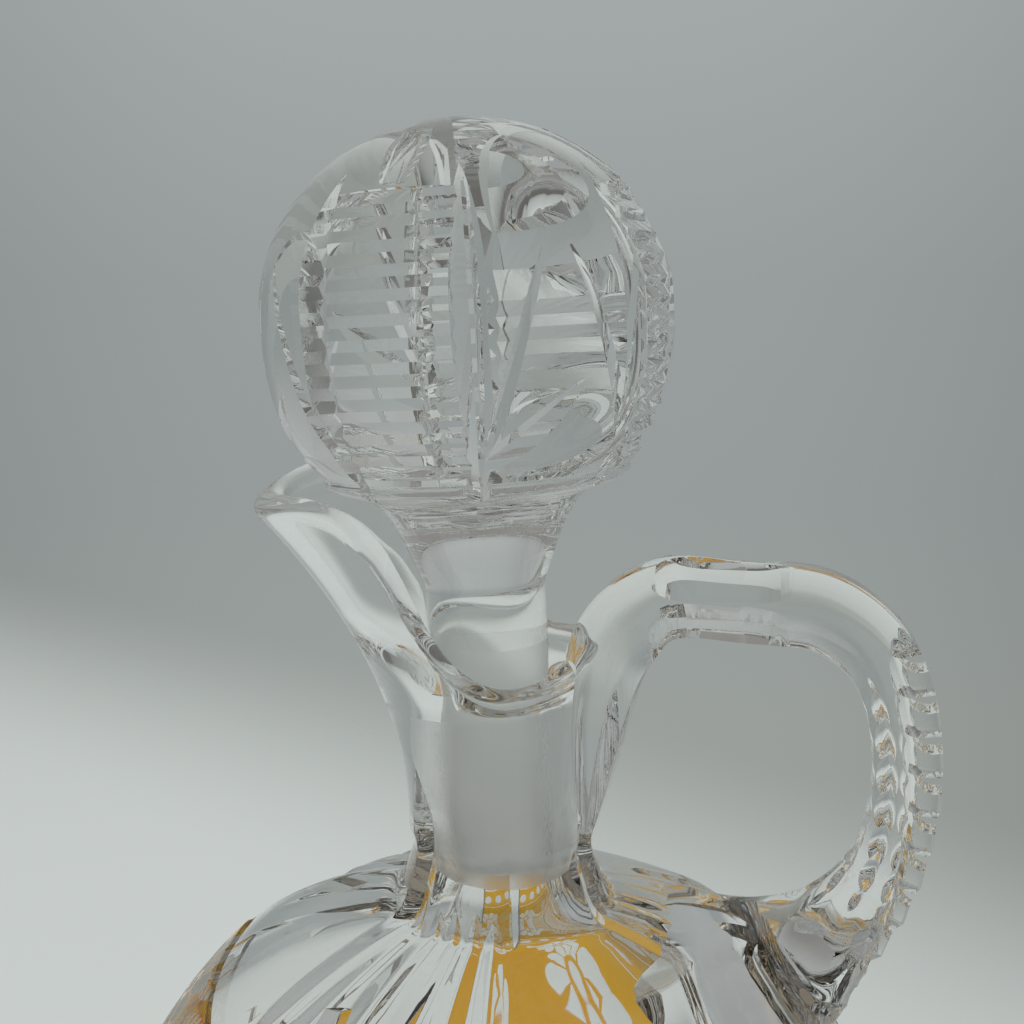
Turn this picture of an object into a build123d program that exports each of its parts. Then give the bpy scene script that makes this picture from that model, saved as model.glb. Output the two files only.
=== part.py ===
from build123d import *

import os
from math import atan, cos, pi, radians, sin, sqrt, tan

# A cut-glass decanter with a pulled pouring lip, an applied handle, amber cased
# panels and a solid ball stopper ground into the neck. Millimetres, +Z up. The
# origin is the middle of the foot, the lip points to -X and the handle to +X.

# Body of the vessel
foot_radius = 46.0
body_radius = 73.5
belly_height = 70.0
shoulder_rise = 57.0
shoulder_power = 2.05
shoulder_levels = 11
body_wall = 6.0
floor_thickness = 11.0
star_rays = 16
star_depth = 1.6
star_inner_radius = 9.0
star_outer_radius = 38.0
star_half_angle = 58.0

# Neck and pouring lip
neck_radius = 16.8
neck_straight = 14.0
root_blend = 5.0
lip_height = 72.0
lip_reach = 39.5
lip_power = 2.1
lip_half_width = 19.5
handle_side_flare = 2.6
rim_wall = 4.0
rim_low_height = 39.0
rim_tip_height = 61.5
rim_handle_height = 45.5
rim_low_place = 5.0
rim_side_tilt = 9.0
rim_overrun = 16.0
rim_tongue_rise = 3.0
mouth_blend = 6.0
mouth_throat_gap = 0.6
mouth_sink = 3.0

# Cut panels round the shoulder
panel_count = 6
panel_turn = -72.0
panel_depth = 2.8

# Ground socket in the neck, which leans toward the lip
socket_lean = 3.5
socket_height = 30.0
plug_top_radius = 10.0
plug_taper = 0.055
plug_clearance = 0.1
plug_rise = 11.0
socket_overrun = 8.0

# Stopper
plug_length = 41.0
plug_end_round = 2.5
shank_radius = 10.6
shank_length = 10.5
cone_top_radius = 20.5
cone_height = 16.5
collar_radius = 26.5
collar_height = 4.0
head_radius = 35.0
head_lower_height = 26.5
head_upper_height = 31.5
head_lower_power = 2.7
head_lower_reach = 34.0

# Cuts on the stopper's head
ladder_count = 4
ladder_turn = -5.5
ladder_width = 20.0
ladder_pitch = 3.6
ladder_grooves = 12
ladder_groove_depth = 1.2
ladder_flat_depth = 1.8
ladder_bottom = 1.5
mitre_length = 44.0
mitre_depth = 3.0
mitre_half_angle = 42.0
mitre_foot = 0.5
mitre_gap_angle = 5.0
leaf_tilt = 19.0
leaf_length = 31.0
leaf_depth = 1.6
wide_leaf_tilt = 52.0
wide_leaf_length = 22.0
wide_leaf_half_angle = 62.0
crown_notch_radius = 3.6
crown_notch_depth = 2.2
notch_height = 51.0

# Applied handle
bar_height = 55.0
bar_thickness = 13.8
grip_reach = 75.0
grip_thickness = 11.4
grip_depth = 14.0
handle_bevel = 0.3
tail_depth = 21.0
tail_bottom = 8.0
end_depth = 60.0
end_thickness = 27.0
notch_count = 11
notch_pitch = 6.6
notch_radius = 4.2
notch_depth = 1.5
notch_length = 10.0
notch_middle = 24.0
notch_lean_rate = 0.78
notch_bend_above = 0.0055
notch_bend_below = 0.0068

# Amber cased panels
amber_thickness = 0.6
amber_sides = ("lip_side", "grip_side", "far_side")
amber_gap_angle = 3.0
amber_bottom = 24.0
amber_top = 109.0

root_height = belly_height + shoulder_rise
neck_base = root_height + root_blend
os.makedirs("parts", exist_ok=True)


def shoulder_height(radius):
    """Height of the uncut shoulder, a superellipse, at a radius."""
    share = (radius / body_radius) ** shoulder_power
    return belly_height + shoulder_rise * (1 - share) ** (1 / shoulder_power)


def ring_points(radius, depth, height, grow):
    """Ridge points and middle points of the cut panels at one height."""
    ridges = []
    middles = []
    for number in range(panel_count):
        ridge_turn = radians(panel_turn - 180 / panel_count - 90 + 360 * number / panel_count)
        middle_turn = ridge_turn + pi / panel_count
        ridge = radius + grow
        middle = radius + grow - depth
        ridges.append((ridge * cos(ridge_turn), ridge * sin(ridge_turn), height))
        middles.append((middle * cos(middle_turn), middle * sin(middle_turn), height))
    return ridges, middles


def ring(radius, depth, height, grow):
    """One level of the shoulder: an arc for each cut panel, closed to a face."""
    ridges, middles = ring_points(radius, depth, height, grow)
    arcs = []
    for number in range(panel_count):
        after = ridges[(number + 1) % panel_count]
        arcs.append(ThreePointArc(ridges[number], middles[number], after))
    return make_face(arcs)


def shoulder(grow):
    """Upper body from the belly to the straight neck, with its cut panels."""
    levels = []
    root_radius = neck_radius + root_blend
    for step in range(shoulder_levels + 1):
        share = step / shoulder_levels
        radius = body_radius - (body_radius - root_radius) * share**1.5
        depth = panel_depth * sin(pi * (0.06 + 0.8 * share)) if step else 0.0
        levels.append(ring(radius, depth, shoulder_height(radius) + grow * share, grow))
    root_depth = panel_depth * sin(pi * 0.86)
    levels.append(ring(neck_radius + root_blend * 0.3, root_depth * 0.8, neck_base - root_blend * 0.3, grow))
    levels.append(ring(neck_radius, root_depth * 0.6, neck_base + root_blend, grow))
    levels.append(ring(neck_radius, 0.0, neck_base + neck_straight * 0.5, grow))
    return loft(levels, ruled=True)


def belly(grow):
    """Lower body from the foot to the belly, round all the way."""
    foot = (foot_radius + grow, 0)
    side = (body_radius + grow, belly_height)
    rise = Spline([foot, side], tangents=[(1, 0.35), (0, 1)])
    outline = [Line((0, 0), foot), rise, Line(side, (0, belly_height)), Line((0, belly_height), (0, 0))]
    return revolve(Plane.XZ * make_face(outline), Axis.Z)


def lip_section(height, inset):
    """Ellipse of the neck at a height above its base, wider toward the lip."""
    start = neck_straight * 0.5
    share = max(0.0, (height - start) / (lip_height - start))
    left = neck_radius + lip_reach * share**lip_power - inset
    right = neck_radius + handle_side_flare * share - inset
    half_width = neck_radius + (lip_half_width - neck_radius) * share - inset
    place = Plane(origin=((right - left) / 2, 0, neck_base + height))
    return place * Ellipse((left + right) / 2, half_width)


def neck(grow):
    """Neck and lip before the rim is cut."""
    start = neck_straight * 0.5
    levels = [lip_section(start + (lip_height - start) * step / 6, -grow) for step in range(7)]
    return loft(levels)


def envelope(grow=0.0):
    """Outer form of the vessel, full of glass, up to the uncut rim."""
    return belly(grow) + shoulder(grow) + neck(grow)


def rim_curve():
    """Side view of the rim: a level tongue, a steep fall and a rise to the handle."""
    tip = neck_radius + lip_reach * ((rim_tip_height / lip_height) ** lip_power)
    low = neck_base + rim_low_height
    high = neck_base + rim_tip_height
    points = [
        (-tip - rim_overrun, high - rim_overrun / 2),
        (-tip, high),
        (-tip * 0.72, high + rim_tongue_rise),
        (-tip * 0.5, high + rim_tongue_rise / 3),
        (-tip * 0.22, (low * 0.62 + high * 0.38)),
        (rim_low_place, low),
        (neck_radius + 1.2, neck_base + rim_handle_height - 2.0),
        (neck_radius + 10.0, neck_base + rim_handle_height + 4.0),
    ]
    return Spline(points)


def above_rim():
    """Everything over the rim, to be taken away. The near side dips lower."""
    curve = rim_curve()
    start = curve @ 0
    end = curve @ 1
    top = neck_base + lip_height + 30
    sides = [Line(end, (end.X, top)), Line((end.X, top), (start.X, top)), Line((start.X, top), start)]
    face = make_face([curve] + sides)
    block = extrude(Plane.XZ * face, amount=3 * lip_half_width, both=True)
    middle = neck_base + rim_low_height
    return Pos(0, 0, middle) * Rot(rim_side_tilt, 0, 0) * Pos(0, 0, -middle) * block


def in_socket(shape):
    """Stand a shape on the neck's base, along the leaning axis of the socket."""
    return Pos(0, 0, neck_base) * Rot(0, -socket_lean, 0) * shape


def plug_radius(height):
    """Radius of the ground plug at a height along its axis."""
    return plug_top_radius - plug_taper * (socket_height - height)


def socket():
    """Ground bore for the plug, open at both ends."""
    low = plug_radius(-socket_overrun) + plug_clearance
    high = plug_radius(socket_height) + plug_clearance
    bore = Cone(low, high, socket_height + socket_overrun, align=(Align.CENTER, Align.CENTER, Align.MIN))
    return in_socket(Pos(0, 0, -socket_overrun) * bore)


def mouth():
    """Inside of the lip, from the top of the ground bore to past the rim."""
    lean_shift = socket_height * sin(radians(socket_lean))
    floor = neck_base + socket_height - mouth_sink
    throat = plug_radius(socket_height) + mouth_throat_gap
    levels = [Plane(origin=(-lean_shift, 0, floor)) * Ellipse(throat, throat)]
    bottom = socket_height + mouth_blend
    levels.append(lip_section(bottom, rim_wall + mouth_throat_gap))
    for share in (0.35, 0.7, 1.0):
        levels.append(lip_section(bottom + share * (lip_height + 1.0 - bottom), rim_wall))
    return loft(levels)


def cavity():
    """Room for the drink, from the floor to the bottom of the ground bore."""
    inside = body_radius - body_wall
    floor_radius = foot_radius - body_wall
    throat = plug_radius(-2.0) + plug_clearance
    low = (floor_radius, floor_thickness)
    side = (inside, belly_height)
    crown = (inside * 0.55, shoulder_height(body_radius * 0.62) - body_wall)
    top = (throat, neck_base - 1.0)
    rise = Spline([low, side], tangents=[(1, 0.2), (0, 1)])
    over = Spline([side, crown, top], tangents=[(0, 1), (0, 1)])
    walls = [Line((0, floor_thickness), low), rise, over, Line(top, (0, top[1]))]
    face = make_face(walls + [Line((0, top[1]), (0, floor_thickness))])
    return revolve(Plane.XZ * face, Axis.Z)


def foot_star():
    """Star of leaf-shaped V cuts ground into the flat underside."""
    length = star_outer_radius - star_inner_radius
    wheel_radius = length * length / (8 * star_depth) + star_depth / 2
    half_edge = star_depth * tan(radians(star_half_angle))
    core = wheel_radius - star_depth
    edge = Polyline((core, half_edge), (wheel_radius, 0), (core, -half_edge), close=True)
    sweep_turn = 1.1 * length / wheel_radius * 180 / pi
    rim = revolve(Plane.XZ * make_face(edge), Axis.Z, revolution_arc=sweep_turn)
    upright = Rot(0, -90, 0) * Rot(90, 0, 0) * Rot(0, 0, -sweep_turn / 2) * rim
    middle = (star_inner_radius + star_outer_radius) / 2
    ray = Pos(middle, 0, star_depth - wheel_radius) * upright
    return [Rot(0, 0, 360 * number / star_rays) * ray for number in range(star_rays)]


def vessel():
    """Hollow body, neck and lip in one piece of glass."""
    foot = belly(0.0) - foot_star()
    return foot + (shoulder(0.0) + neck(0.0) - above_rim()) - cavity() - socket() - mouth()


def head_surface(height):
    """Radius of the uncut head at a height over its collar."""
    if height > head_lower_height:
        share = (height - head_lower_height) / head_upper_height
        return head_radius * sqrt(max(0.0, 1 - share * share))
    share = (head_lower_height - height) / head_lower_reach
    return head_radius * (1 - share**head_lower_power) ** (1 / head_lower_power)


def collar_level():
    """Height of the head's lower edge along the stopper's axis."""
    return socket_height + plug_rise + shank_length + cone_height + collar_height


def head_curves():
    """Outline of the uncut head from its lower edge to the crown."""
    level = collar_level()
    heights = [head_lower_height * step / 6 for step in range(7)]
    lower = Spline([(head_surface(height), level + height) for height in heights])
    upper_points = []
    for step in range(7):
        turn = radians(90 * step / 6)
        height = level + head_lower_height + head_upper_height * sin(turn)
        upper_points.append((head_radius * cos(turn), height))
    upper = Spline(upper_points, tangents=[(0, 1), (-1, 0)])
    return [lower, upper]


def stopper_blank():
    """Stopper before its head is cut: plug, shank, cone, collar and ball."""
    plug_top = socket_height + plug_rise
    bottom = plug_top - plug_length
    low = plug_radius(bottom)
    diagonal = plug_end_round * (1 - sqrt(0.5))
    cone_bottom = plug_top + shank_length
    cone_top = cone_bottom + cone_height
    corner = ThreePointArc(
        (low - plug_end_round, bottom),
        (low - diagonal, bottom + diagonal),
        (low, bottom + plug_end_round),
    )
    stem = Polyline(
        (low, bottom + plug_end_round),
        (plug_radius(plug_top), plug_top),
        (shank_radius, plug_top + 1.0),
        (shank_radius, cone_bottom),
        (shank_radius + (cone_top_radius - shank_radius) * 0.35, cone_bottom + cone_height * 0.5),
        (cone_top_radius, cone_top),
        (collar_radius - 1.2, cone_top + 1.4),
        (collar_radius, cone_top + collar_height * 0.6),
        (head_surface(0), collar_level()),
    )
    head = head_curves()
    crown = head[1] @ 1
    axis_lines = [Line(crown, (0, bottom)), Line((0, bottom), (low - plug_end_round, bottom))]
    return revolve(Plane.XZ * make_face([corner, stem] + head + axis_lines), Axis.Z)


def ladder_cut(number):
    """Level V grooves that follow the swell of the head, one ladder of them."""
    outside = head_radius + 6
    points = [(outside, ladder_bottom)]
    for groove in range(ladder_grooves + 1):
        height = ladder_bottom + groove * ladder_pitch
        face = head_surface(height) - ladder_flat_depth
        points.append((face, height))
        if groove < ladder_grooves:
            middle = height + ladder_pitch / 2
            valley = head_surface(middle) - ladder_flat_depth - ladder_groove_depth
            points.append((valley, middle))
    points.append((outside, ladder_bottom + ladder_grooves * ladder_pitch))
    teeth = make_face(Polyline(*points, close=True))
    block = extrude(Plane.XZ * teeth, amount=ladder_width / 2, both=True)
    turn = ladder_turn - 90 + 360 * number / ladder_count
    return Rot(0, 0, turn) * block


def head_seat(turn, height):
    """Place on the head's surface: X points out of the glass, Z up along it."""
    slope = (head_surface(height + 1.0) - head_surface(height - 1.0)) / 2.0
    tilt = Rot(0, atan(slope) * 180 / pi, 0)
    return Rot(0, 0, turn) * Pos(head_surface(height), 0, height) * tilt


def leaf_cut(turn, height, tilt, length, depth, half_angle):
    """Pointed V groove that follows the round of the head, deepest halfway."""
    half_turn = length / 2 / head_radius
    inward = depth / (1 - cos(half_turn))
    tip = head_radius - depth + inward
    rise = 3 * depth
    edge = rise * tan(radians(half_angle))
    groove = make_face(Polyline((tip, 0), (tip + rise, edge), (tip + rise, -edge), close=True))
    sweep_turn = 2.6 * half_turn * 180 / pi
    ring_part = Rot(0, 0, -sweep_turn / 2) * revolve(Plane.XZ * groove, Axis.Z, revolution_arc=sweep_turn)
    upright = Pos(-depth - tip, 0, 0) * Rot(90, 0, 0) * ring_part
    return head_seat(turn, height) * Rot(tilt, 0, 0) * upright


def fan_leaf(turn, hand, tilt, length, depth, half_angle):
    """Leaf that springs from the foot of a mitre and leans away from it."""
    sideways = length / 2 * sin(radians(tilt)) / head_radius * 180 / pi
    height = mitre_foot + length / 2 * cos(radians(tilt))
    return leaf_cut(turn + hand * sideways, height, -hand * tilt, length, depth, half_angle)


def head_cuts():
    """All cuts on the head, the same on each of its sides."""
    cuts = []
    half_ladder = 180 / pi * ladder_width / 2 / head_radius + mitre_gap_angle
    middle = mitre_foot + mitre_length / 2
    for number in range(ladder_count):
        side = ladder_turn - 90 + 360 * number / ladder_count
        cuts.append(ladder_cut(number))
        cuts.append(crown_notch(side))
        for hand in (-1, 1):
            edge = side + hand * half_ladder
            cuts.append(leaf_cut(edge, middle, 0, mitre_length, mitre_depth, mitre_half_angle))
            cuts.append(fan_leaf(edge, hand, leaf_tilt, leaf_length, leaf_depth, mitre_half_angle))
        foot = side + half_ladder
        cuts.append(fan_leaf(foot, 1, wide_leaf_tilt, wide_leaf_length, leaf_depth, wide_leaf_half_angle))
    return cuts


def crown_notch(turn):
    """Short round flute over a ladder, running up to the crown."""
    seat = head_seat(turn, notch_height)
    return seat * Pos(crown_notch_radius - crown_notch_depth, 0, 0) * Cylinder(crown_notch_radius, 12.0)


def stopper():
    """Solid ball stopper with its cut head, stood in the leaning socket."""
    cuts = [Pos(0, 0, collar_level()) * cut for cut in head_cuts()]
    return in_socket(stopper_blank() - cuts)


def octagon(place, thickness, depth):
    """Bevelled section of the handle, thickness in X and depth in Y."""
    bevel = handle_bevel * min(thickness, depth)
    half_x = thickness / 2
    half_y = depth / 2
    outline = Polyline(
        (half_x, -half_y + bevel),
        (half_x, half_y - bevel),
        (half_x - bevel, half_y),
        (-half_x + bevel, half_y),
        (-half_x, half_y - bevel),
        (-half_x, -half_y + bevel),
        (-half_x + bevel, -half_y),
        (half_x - bevel, -half_y),
        close=True,
    )
    return place * make_face(outline)


def handle_stations():
    """Places along the handle: x, height, lean of the section, thickness, depth."""
    bar_middle = neck_base + bar_height - bar_thickness / 2 + 1.8
    inner_reach = grip_reach - grip_thickness / 2
    tail = neck_radius - 1.0
    return [
        (tail, neck_base + tail_bottom, 0, 3.0, tail_depth * 0.5),
        (tail + 0.6, neck_base + bar_height * 0.3, 0, 7.0, tail_depth * 0.85),
        (tail + 1.6, neck_base + bar_height * 0.55, 8, 12.0, tail_depth),
        (tail + 5.4, neck_base + bar_height * 0.79, 32, 14.5, tail_depth * 0.85),
        (tail + 13.5, bar_middle, 78, bar_thickness, grip_depth * 1.1),
        (inner_reach - 27.0, bar_middle, 90, bar_thickness, grip_depth),
        (inner_reach - 15.5, bar_middle - 0.4, 98, bar_thickness * 0.98, grip_depth),
        (inner_reach - 5.0, bar_middle - 7.5, 143, bar_thickness * 0.86, grip_depth),
        (inner_reach - 0.4, bar_middle - 20.0, 172, grip_thickness, grip_depth),
        (inner_reach, bar_middle - 34.0, 184, grip_thickness, grip_depth),
        (inner_reach - 3.6, bar_middle - 48.0, 204, grip_thickness * 1.1, grip_depth * 1.1),
        (inner_reach - 12.5, bar_middle - 60.0, 224, end_thickness * 0.62, end_depth * 0.42),
        (inner_reach - 23.0, bar_middle - 68.5, 234, end_thickness * 0.85, end_depth * 0.7),
        (inner_reach - 34.0, bar_middle - 73.0, 248, end_thickness, end_depth * 0.93),
        (inner_reach - 46.0, bar_middle - 75.0, 262, end_thickness * 0.95, end_depth),
    ]


def handle_notches():
    """Thumb cuts along both outer corners of the grip."""
    notches = []
    reach = grip_reach - 1.2
    top = neck_base + bar_height - bar_thickness
    for number in range(notch_count):
        drop = number * notch_pitch - notch_middle
        inward = (notch_bend_below if drop > 0 else notch_bend_above) * drop**2
        out = reach - inward + notch_radius - notch_depth
        for side in (-1, 1):
            corner = Pos(out, side * grip_depth / 2, top - notch_middle - drop)
            wheel = Rot(0, notch_lean_rate * drop, 0) * Rot(side * 45, 0, 0) * Cylinder(notch_radius, notch_length)
            notches.append(corner * wheel)
    return notches


def handle(casing):
    """Applied handle from the neck over the grip to the shoulder."""
    sections = []
    for x, height, lean, thickness, depth in handle_stations():
        sections.append(octagon(Plane(origin=(x, 0, height)) * Rot(0, lean, 0), thickness, depth))
    return loft(sections) - handle_notches() - envelope() - casing


def amber_casing():
    """Thin amber shells over every other cut panel of the body."""
    shell = (belly(amber_thickness) + shoulder(amber_thickness)) - (belly(0.0) + shoulder(0.0))
    half_angle = radians(180 / panel_count - amber_gap_angle / 2)
    far = 2 * body_radius
    edge = (far * cos(half_angle), far * sin(half_angle))
    wedge = make_face(Polyline((0, 0), edge, (edge[0], -edge[1]), close=True))
    block = Pos(0, 0, amber_bottom) * extrude(wedge, amount=amber_top - amber_bottom)
    return [shell & (Rot(0, 0, amber_turn(number)) * block) for number in range(len(amber_sides))]


def amber_turn(number):
    """Direction that an amber panel faces, from +X toward +Y."""
    return panel_turn - 90 + 720 / panel_count * number


def save(shape, name):
    """Write one node to its own file."""
    shape.label = name
    export_step(shape, f"parts/{name}.step")


panels = amber_casing()
save(vessel(), "vessel")
save(stopper(), "stopper")
save(handle(panels), "handle")
for side, panel in zip(amber_sides, panels):
    save(panel, f"amber_panel_{side}")
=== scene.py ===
"""Dress a cut-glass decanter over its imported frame: vessel, amber panels, stopper, handle and stage."""

import logging
import math
from contextlib import contextmanager
from dataclasses import dataclass, field
from enum import Enum
from typing import Iterable, Iterator, Sequence

import bmesh
import bpy
import numpy as np
from mathutils import Matrix, Vector


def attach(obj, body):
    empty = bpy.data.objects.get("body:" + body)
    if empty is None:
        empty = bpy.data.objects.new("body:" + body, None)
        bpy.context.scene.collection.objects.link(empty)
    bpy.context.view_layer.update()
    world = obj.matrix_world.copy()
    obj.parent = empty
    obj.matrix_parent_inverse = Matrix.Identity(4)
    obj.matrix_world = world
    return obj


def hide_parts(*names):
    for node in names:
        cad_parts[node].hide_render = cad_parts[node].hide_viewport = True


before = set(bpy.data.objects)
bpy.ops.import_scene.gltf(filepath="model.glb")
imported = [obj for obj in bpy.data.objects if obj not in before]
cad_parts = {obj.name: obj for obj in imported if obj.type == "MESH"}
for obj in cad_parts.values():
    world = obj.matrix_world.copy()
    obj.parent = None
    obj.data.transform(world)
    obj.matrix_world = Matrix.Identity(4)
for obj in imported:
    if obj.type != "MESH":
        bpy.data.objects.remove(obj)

logging.basicConfig(level=logging.INFO, format="%(levelname)s %(message)s")
LOG = logging.getLogger("decanter")

MILLIMETRE = 0.001
WELD_DISTANCE = 2e-6
BARREL_DROP = 0.12
WHEEL_RISE = 1.6
PANEL_UNIT = 100.0
SHADOW_SHARE = 0.88
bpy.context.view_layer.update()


class Body(Enum):
    """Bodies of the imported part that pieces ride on."""

    VESSEL = "vessel_body"
    STOPPER = "stopper_body"


class Slot(Enum):
    """Material slots of the record."""

    VESSEL = "vessel"
    HANDLE = "handle"
    STOPPER = "stopper"
    AMBER = "amber_glass"


class Skin(Enum):
    """Order of the material slots on every glass mesh."""

    POLISHED = 0
    GROUND = 1
    SEAM = 2
    CUT = 3
    CAP = 4


class SmoothCurve:
    """Cubic curve through points, smooth to its second derivative."""

    def __init__(
        self,
        points: Sequence[Sequence[float]],
        start: Sequence[float] | None = None,
        end: Sequence[float] | None = None,
    ) -> None:
        """Solve the tangents at the points.

        Args:
            points: Points in order, each with the same number of values.
            start: Direction at the first point, free when left out.
            end: Direction at the last point, free when left out.
        """
        self.points = np.asarray(points, float)
        steps = np.linalg.norm(np.diff(self.points, axis=0), axis=1)
        self.marks = np.concatenate([[0.0], np.cumsum(steps)])
        count = len(self.points)
        matrix = np.zeros((count, count))
        right = np.zeros_like(self.points)
        slopes = np.diff(self.points, axis=0) / steps[:, None]
        for row in range(1, count - 1):
            before, after = steps[row - 1], steps[row]
            matrix[row, row - 1 : row + 2] = after, 2 * (before + after), before
            right[row] = 3 * (after * slopes[row - 1] + before * slopes[row])
        for row, beside, given, slope in ((0, 1, start, slopes[0]), (count - 1, count - 2, end, slopes[-1])):
            if given is None:
                matrix[row, row], matrix[row, beside] = 2, 1
                right[row] = 3 * slope
            else:
                matrix[row, row] = 1
                right[row] = np.asarray(given, float) / np.linalg.norm(given)
        self.tangents = np.linalg.solve(matrix, right)

    def at(self, shares: np.ndarray) -> np.ndarray:
        """Return points of the curve.

        Args:
            shares: Places along the curve, 0 at its start and 1 at its end.

        Returns:
            One row of values for each share.
        """
        marks = np.clip(np.asarray(shares, float), 0, 1) * self.marks[-1]
        index = np.clip(np.searchsorted(self.marks, marks, "right") - 1, 0, len(self.points) - 2)
        length = (self.marks[index + 1] - self.marks[index])[:, None]
        share = (marks - self.marks[index])[:, None] / length
        square, cube = share**2, share**3
        return (
            (2 * cube - 3 * square + 1) * self.points[index]
            + (cube - 2 * square + share) * length * self.tangents[index]
            + (3 * square - 2 * cube) * self.points[index + 1]
            + (cube - square) * length * self.tangents[index + 1]
        )

    def even(self, count: int) -> np.ndarray:
        """Return evenly spaced points of the curve.

        Args:
            count: How many points, both ends among them.

        Returns:
            The points, one a row.
        """
        fine = self.at(np.linspace(0, 1, 1200))
        run = np.concatenate([[0.0], np.cumsum(np.linalg.norm(np.diff(fine, axis=0), axis=1))])
        shares = np.interp(np.linspace(0, run[-1], count), run, np.linspace(0, 1, 1200))
        return self.at(shares)


def smooth_step(values: np.ndarray, low: float, high: float) -> np.ndarray:
    """Return 0 below low and 1 above high, with a soft rise between."""
    share = np.clip((np.asarray(values, float) - low) / (high - low), 0, 1)
    return share * share * (3 - 2 * share)


def mesh_object(
    name: str,
    points: np.ndarray,
    faces: Iterable[Sequence[int]],
    skins: Sequence[int] | np.ndarray | None = None,
) -> bpy.types.Object:
    """Make a mesh object from points in millimetres.

    Args:
        name: Name of the object and its mesh.
        points: One point a row, in millimetres.
        faces: Point numbers of each face.
        skins: Material slot number of each face, all 0 when left out.

    Returns:
        The linked object, with smooth faces.
    """
    mesh = bpy.data.meshes.new(name)
    mesh.from_pydata((np.asarray(points) * MILLIMETRE).tolist(), [], [list(map(int, face)) for face in faces])
    mesh.validate()
    if skins is not None:
        mesh.polygons.foreach_set("material_index", np.asarray(skins, np.int32))
    mesh.polygons.foreach_set("use_smooth", np.ones(len(mesh.polygons), bool))
    mesh.update()
    return linked(name, mesh)


def linked(name: str, mesh: bpy.types.Mesh) -> bpy.types.Object:
    """Put a mesh in the scene as an object with an empty slot for every skin.

    Args:
        name: Name of the object.
        mesh: Its mesh.

    Returns:
        The new object.
    """
    for skin in Skin:
        if len(mesh.materials) <= skin.value:
            mesh.materials.append(bpy.data.materials.get(skin.name) or bpy.data.materials.new(skin.name))
    piece = bpy.data.objects.new(name, mesh)
    bpy.context.scene.collection.objects.link(piece)
    return piece


def copied(piece: bpy.types.Object, skin: Skin) -> bpy.types.Object:
    """Return a copy of a piece whose faces all carry one slot number."""
    mesh = piece.data.copy()
    mesh.polygons.foreach_set("material_index", np.full(len(mesh.polygons), skin.value, np.int32))
    return linked(f"{piece.name}_tool", mesh)


def grid_faces(rings: int, columns: int) -> np.ndarray:
    """Return the quads of rings that close round, with outward faces for rings that rise.

    Args:
        rings: How many rings of points.
        columns: Points in each ring.

    Returns:
        Four point numbers a row, ring by ring.
    """
    row = np.arange(columns)
    after = (row + 1) % columns
    parts = []
    for ring in range(rings - 1):
        low, high = ring * columns, (ring + 1) * columns
        parts.append(np.stack([low + row, low + after, high + after, high + row], axis=1))
    return np.concatenate(parts)


def directions(rings: np.ndarray) -> tuple[np.ndarray, np.ndarray]:
    """Return the run from ring to ring and the outward normal at every point of a ring grid."""
    along = np.gradient(rings, axis=0)
    around = np.roll(rings, -1, axis=1) - np.roll(rings, 1, axis=1)
    normal = np.cross(around, along)
    return along, normal / np.linalg.norm(normal, axis=-1, keepdims=True)


def placed(points: np.ndarray, place: Matrix) -> np.ndarray:
    """Return points moved by a matrix."""
    matrix = np.array(place)
    return points @ matrix[:3, :3].T + matrix[:3, 3]


def closed_grid(
    name: str,
    rings: np.ndarray,
    start: Sequence[float] | None,
    end: Sequence[float] | None,
    skins: Sequence[int] | None = None,
) -> bpy.types.Object:
    """Make a mesh from rings of points, with a fan of triangles at each closed end.

    Args:
        name: Name of the object.
        rings: Array of rings, columns and three values.
        start: Point that closes the first ring, or None to leave it open.
        end: Point that closes the last ring, or None to leave it open.
        skins: Slot number of the band between each ring and the next, and then of the two ends.

    Returns:
        The new object.
    """
    count, columns = rings.shape[:2]
    points = list(rings.reshape(-1, 3))
    faces = [tuple(face) for face in grid_faces(count, columns)]
    bands = list(skins) if skins is not None else [0] * (count + 1)
    marks = [bands[ring] for ring in range(count - 1) for _ in range(columns)]
    row = range(columns)
    if start is not None:
        points.append(np.asarray(start, float))
        middle = len(points) - 1
        faces += [(middle, (column + 1) % columns, column) for column in row]
        marks += [bands[count - 1]] * columns
    if end is not None:
        points.append(np.asarray(end, float))
        middle = len(points) - 1
        last = (count - 1) * columns
        faces += [(middle, last + column, last + (column + 1) % columns) for column in row]
        marks += [bands[count]] * columns
    return mesh_object(name, np.array(points), faces, marks)


@contextmanager
def edited(piece: bpy.types.Object) -> Iterator[bmesh.types.BMesh]:
    """Open the mesh of an object for changes, and write them back."""
    mesh = bmesh.new()
    mesh.from_mesh(piece.data)
    yield mesh
    mesh.to_mesh(piece.data)
    mesh.free()


def sharpen(piece: bpy.types.Object, degrees: float) -> None:
    """Mark the edges of a mesh that turn more than an angle as sharp.

    Args:
        piece: Object to mark.
        degrees: Angle between two faces from which their edge is sharp.
    """
    limit = math.radians(degrees)
    with edited(piece) as mesh:
        for edge in mesh.edges:
            edge.smooth = len(edge.link_faces) != 2 or edge.calc_face_angle(0) < limit


def cut_with(piece: bpy.types.Object, tool: bpy.types.Object, crossing: bool = False) -> None:
    """Cut one object out of another, and keep the slot number of every face.

    Args:
        piece: Object to change.
        tool: Object to cut away.
        crossing: Whether parts of the tool run into one another.
    """
    modifier = piece.modifiers.new("cut", "BOOLEAN")
    modifier.operation = "DIFFERENCE"
    modifier.use_self = crossing
    modifier.object = tool
    modifier.solver = "EXACT"
    modifier.material_mode = "INDEX"
    depsgraph = bpy.context.evaluated_depsgraph_get()
    result = bpy.data.meshes.new_from_object(piece.evaluated_get(depsgraph), depsgraph=depsgraph)
    piece.modifiers.clear()
    old = piece.data
    piece.data = result
    result.name = piece.name
    bpy.data.meshes.remove(old)


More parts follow.
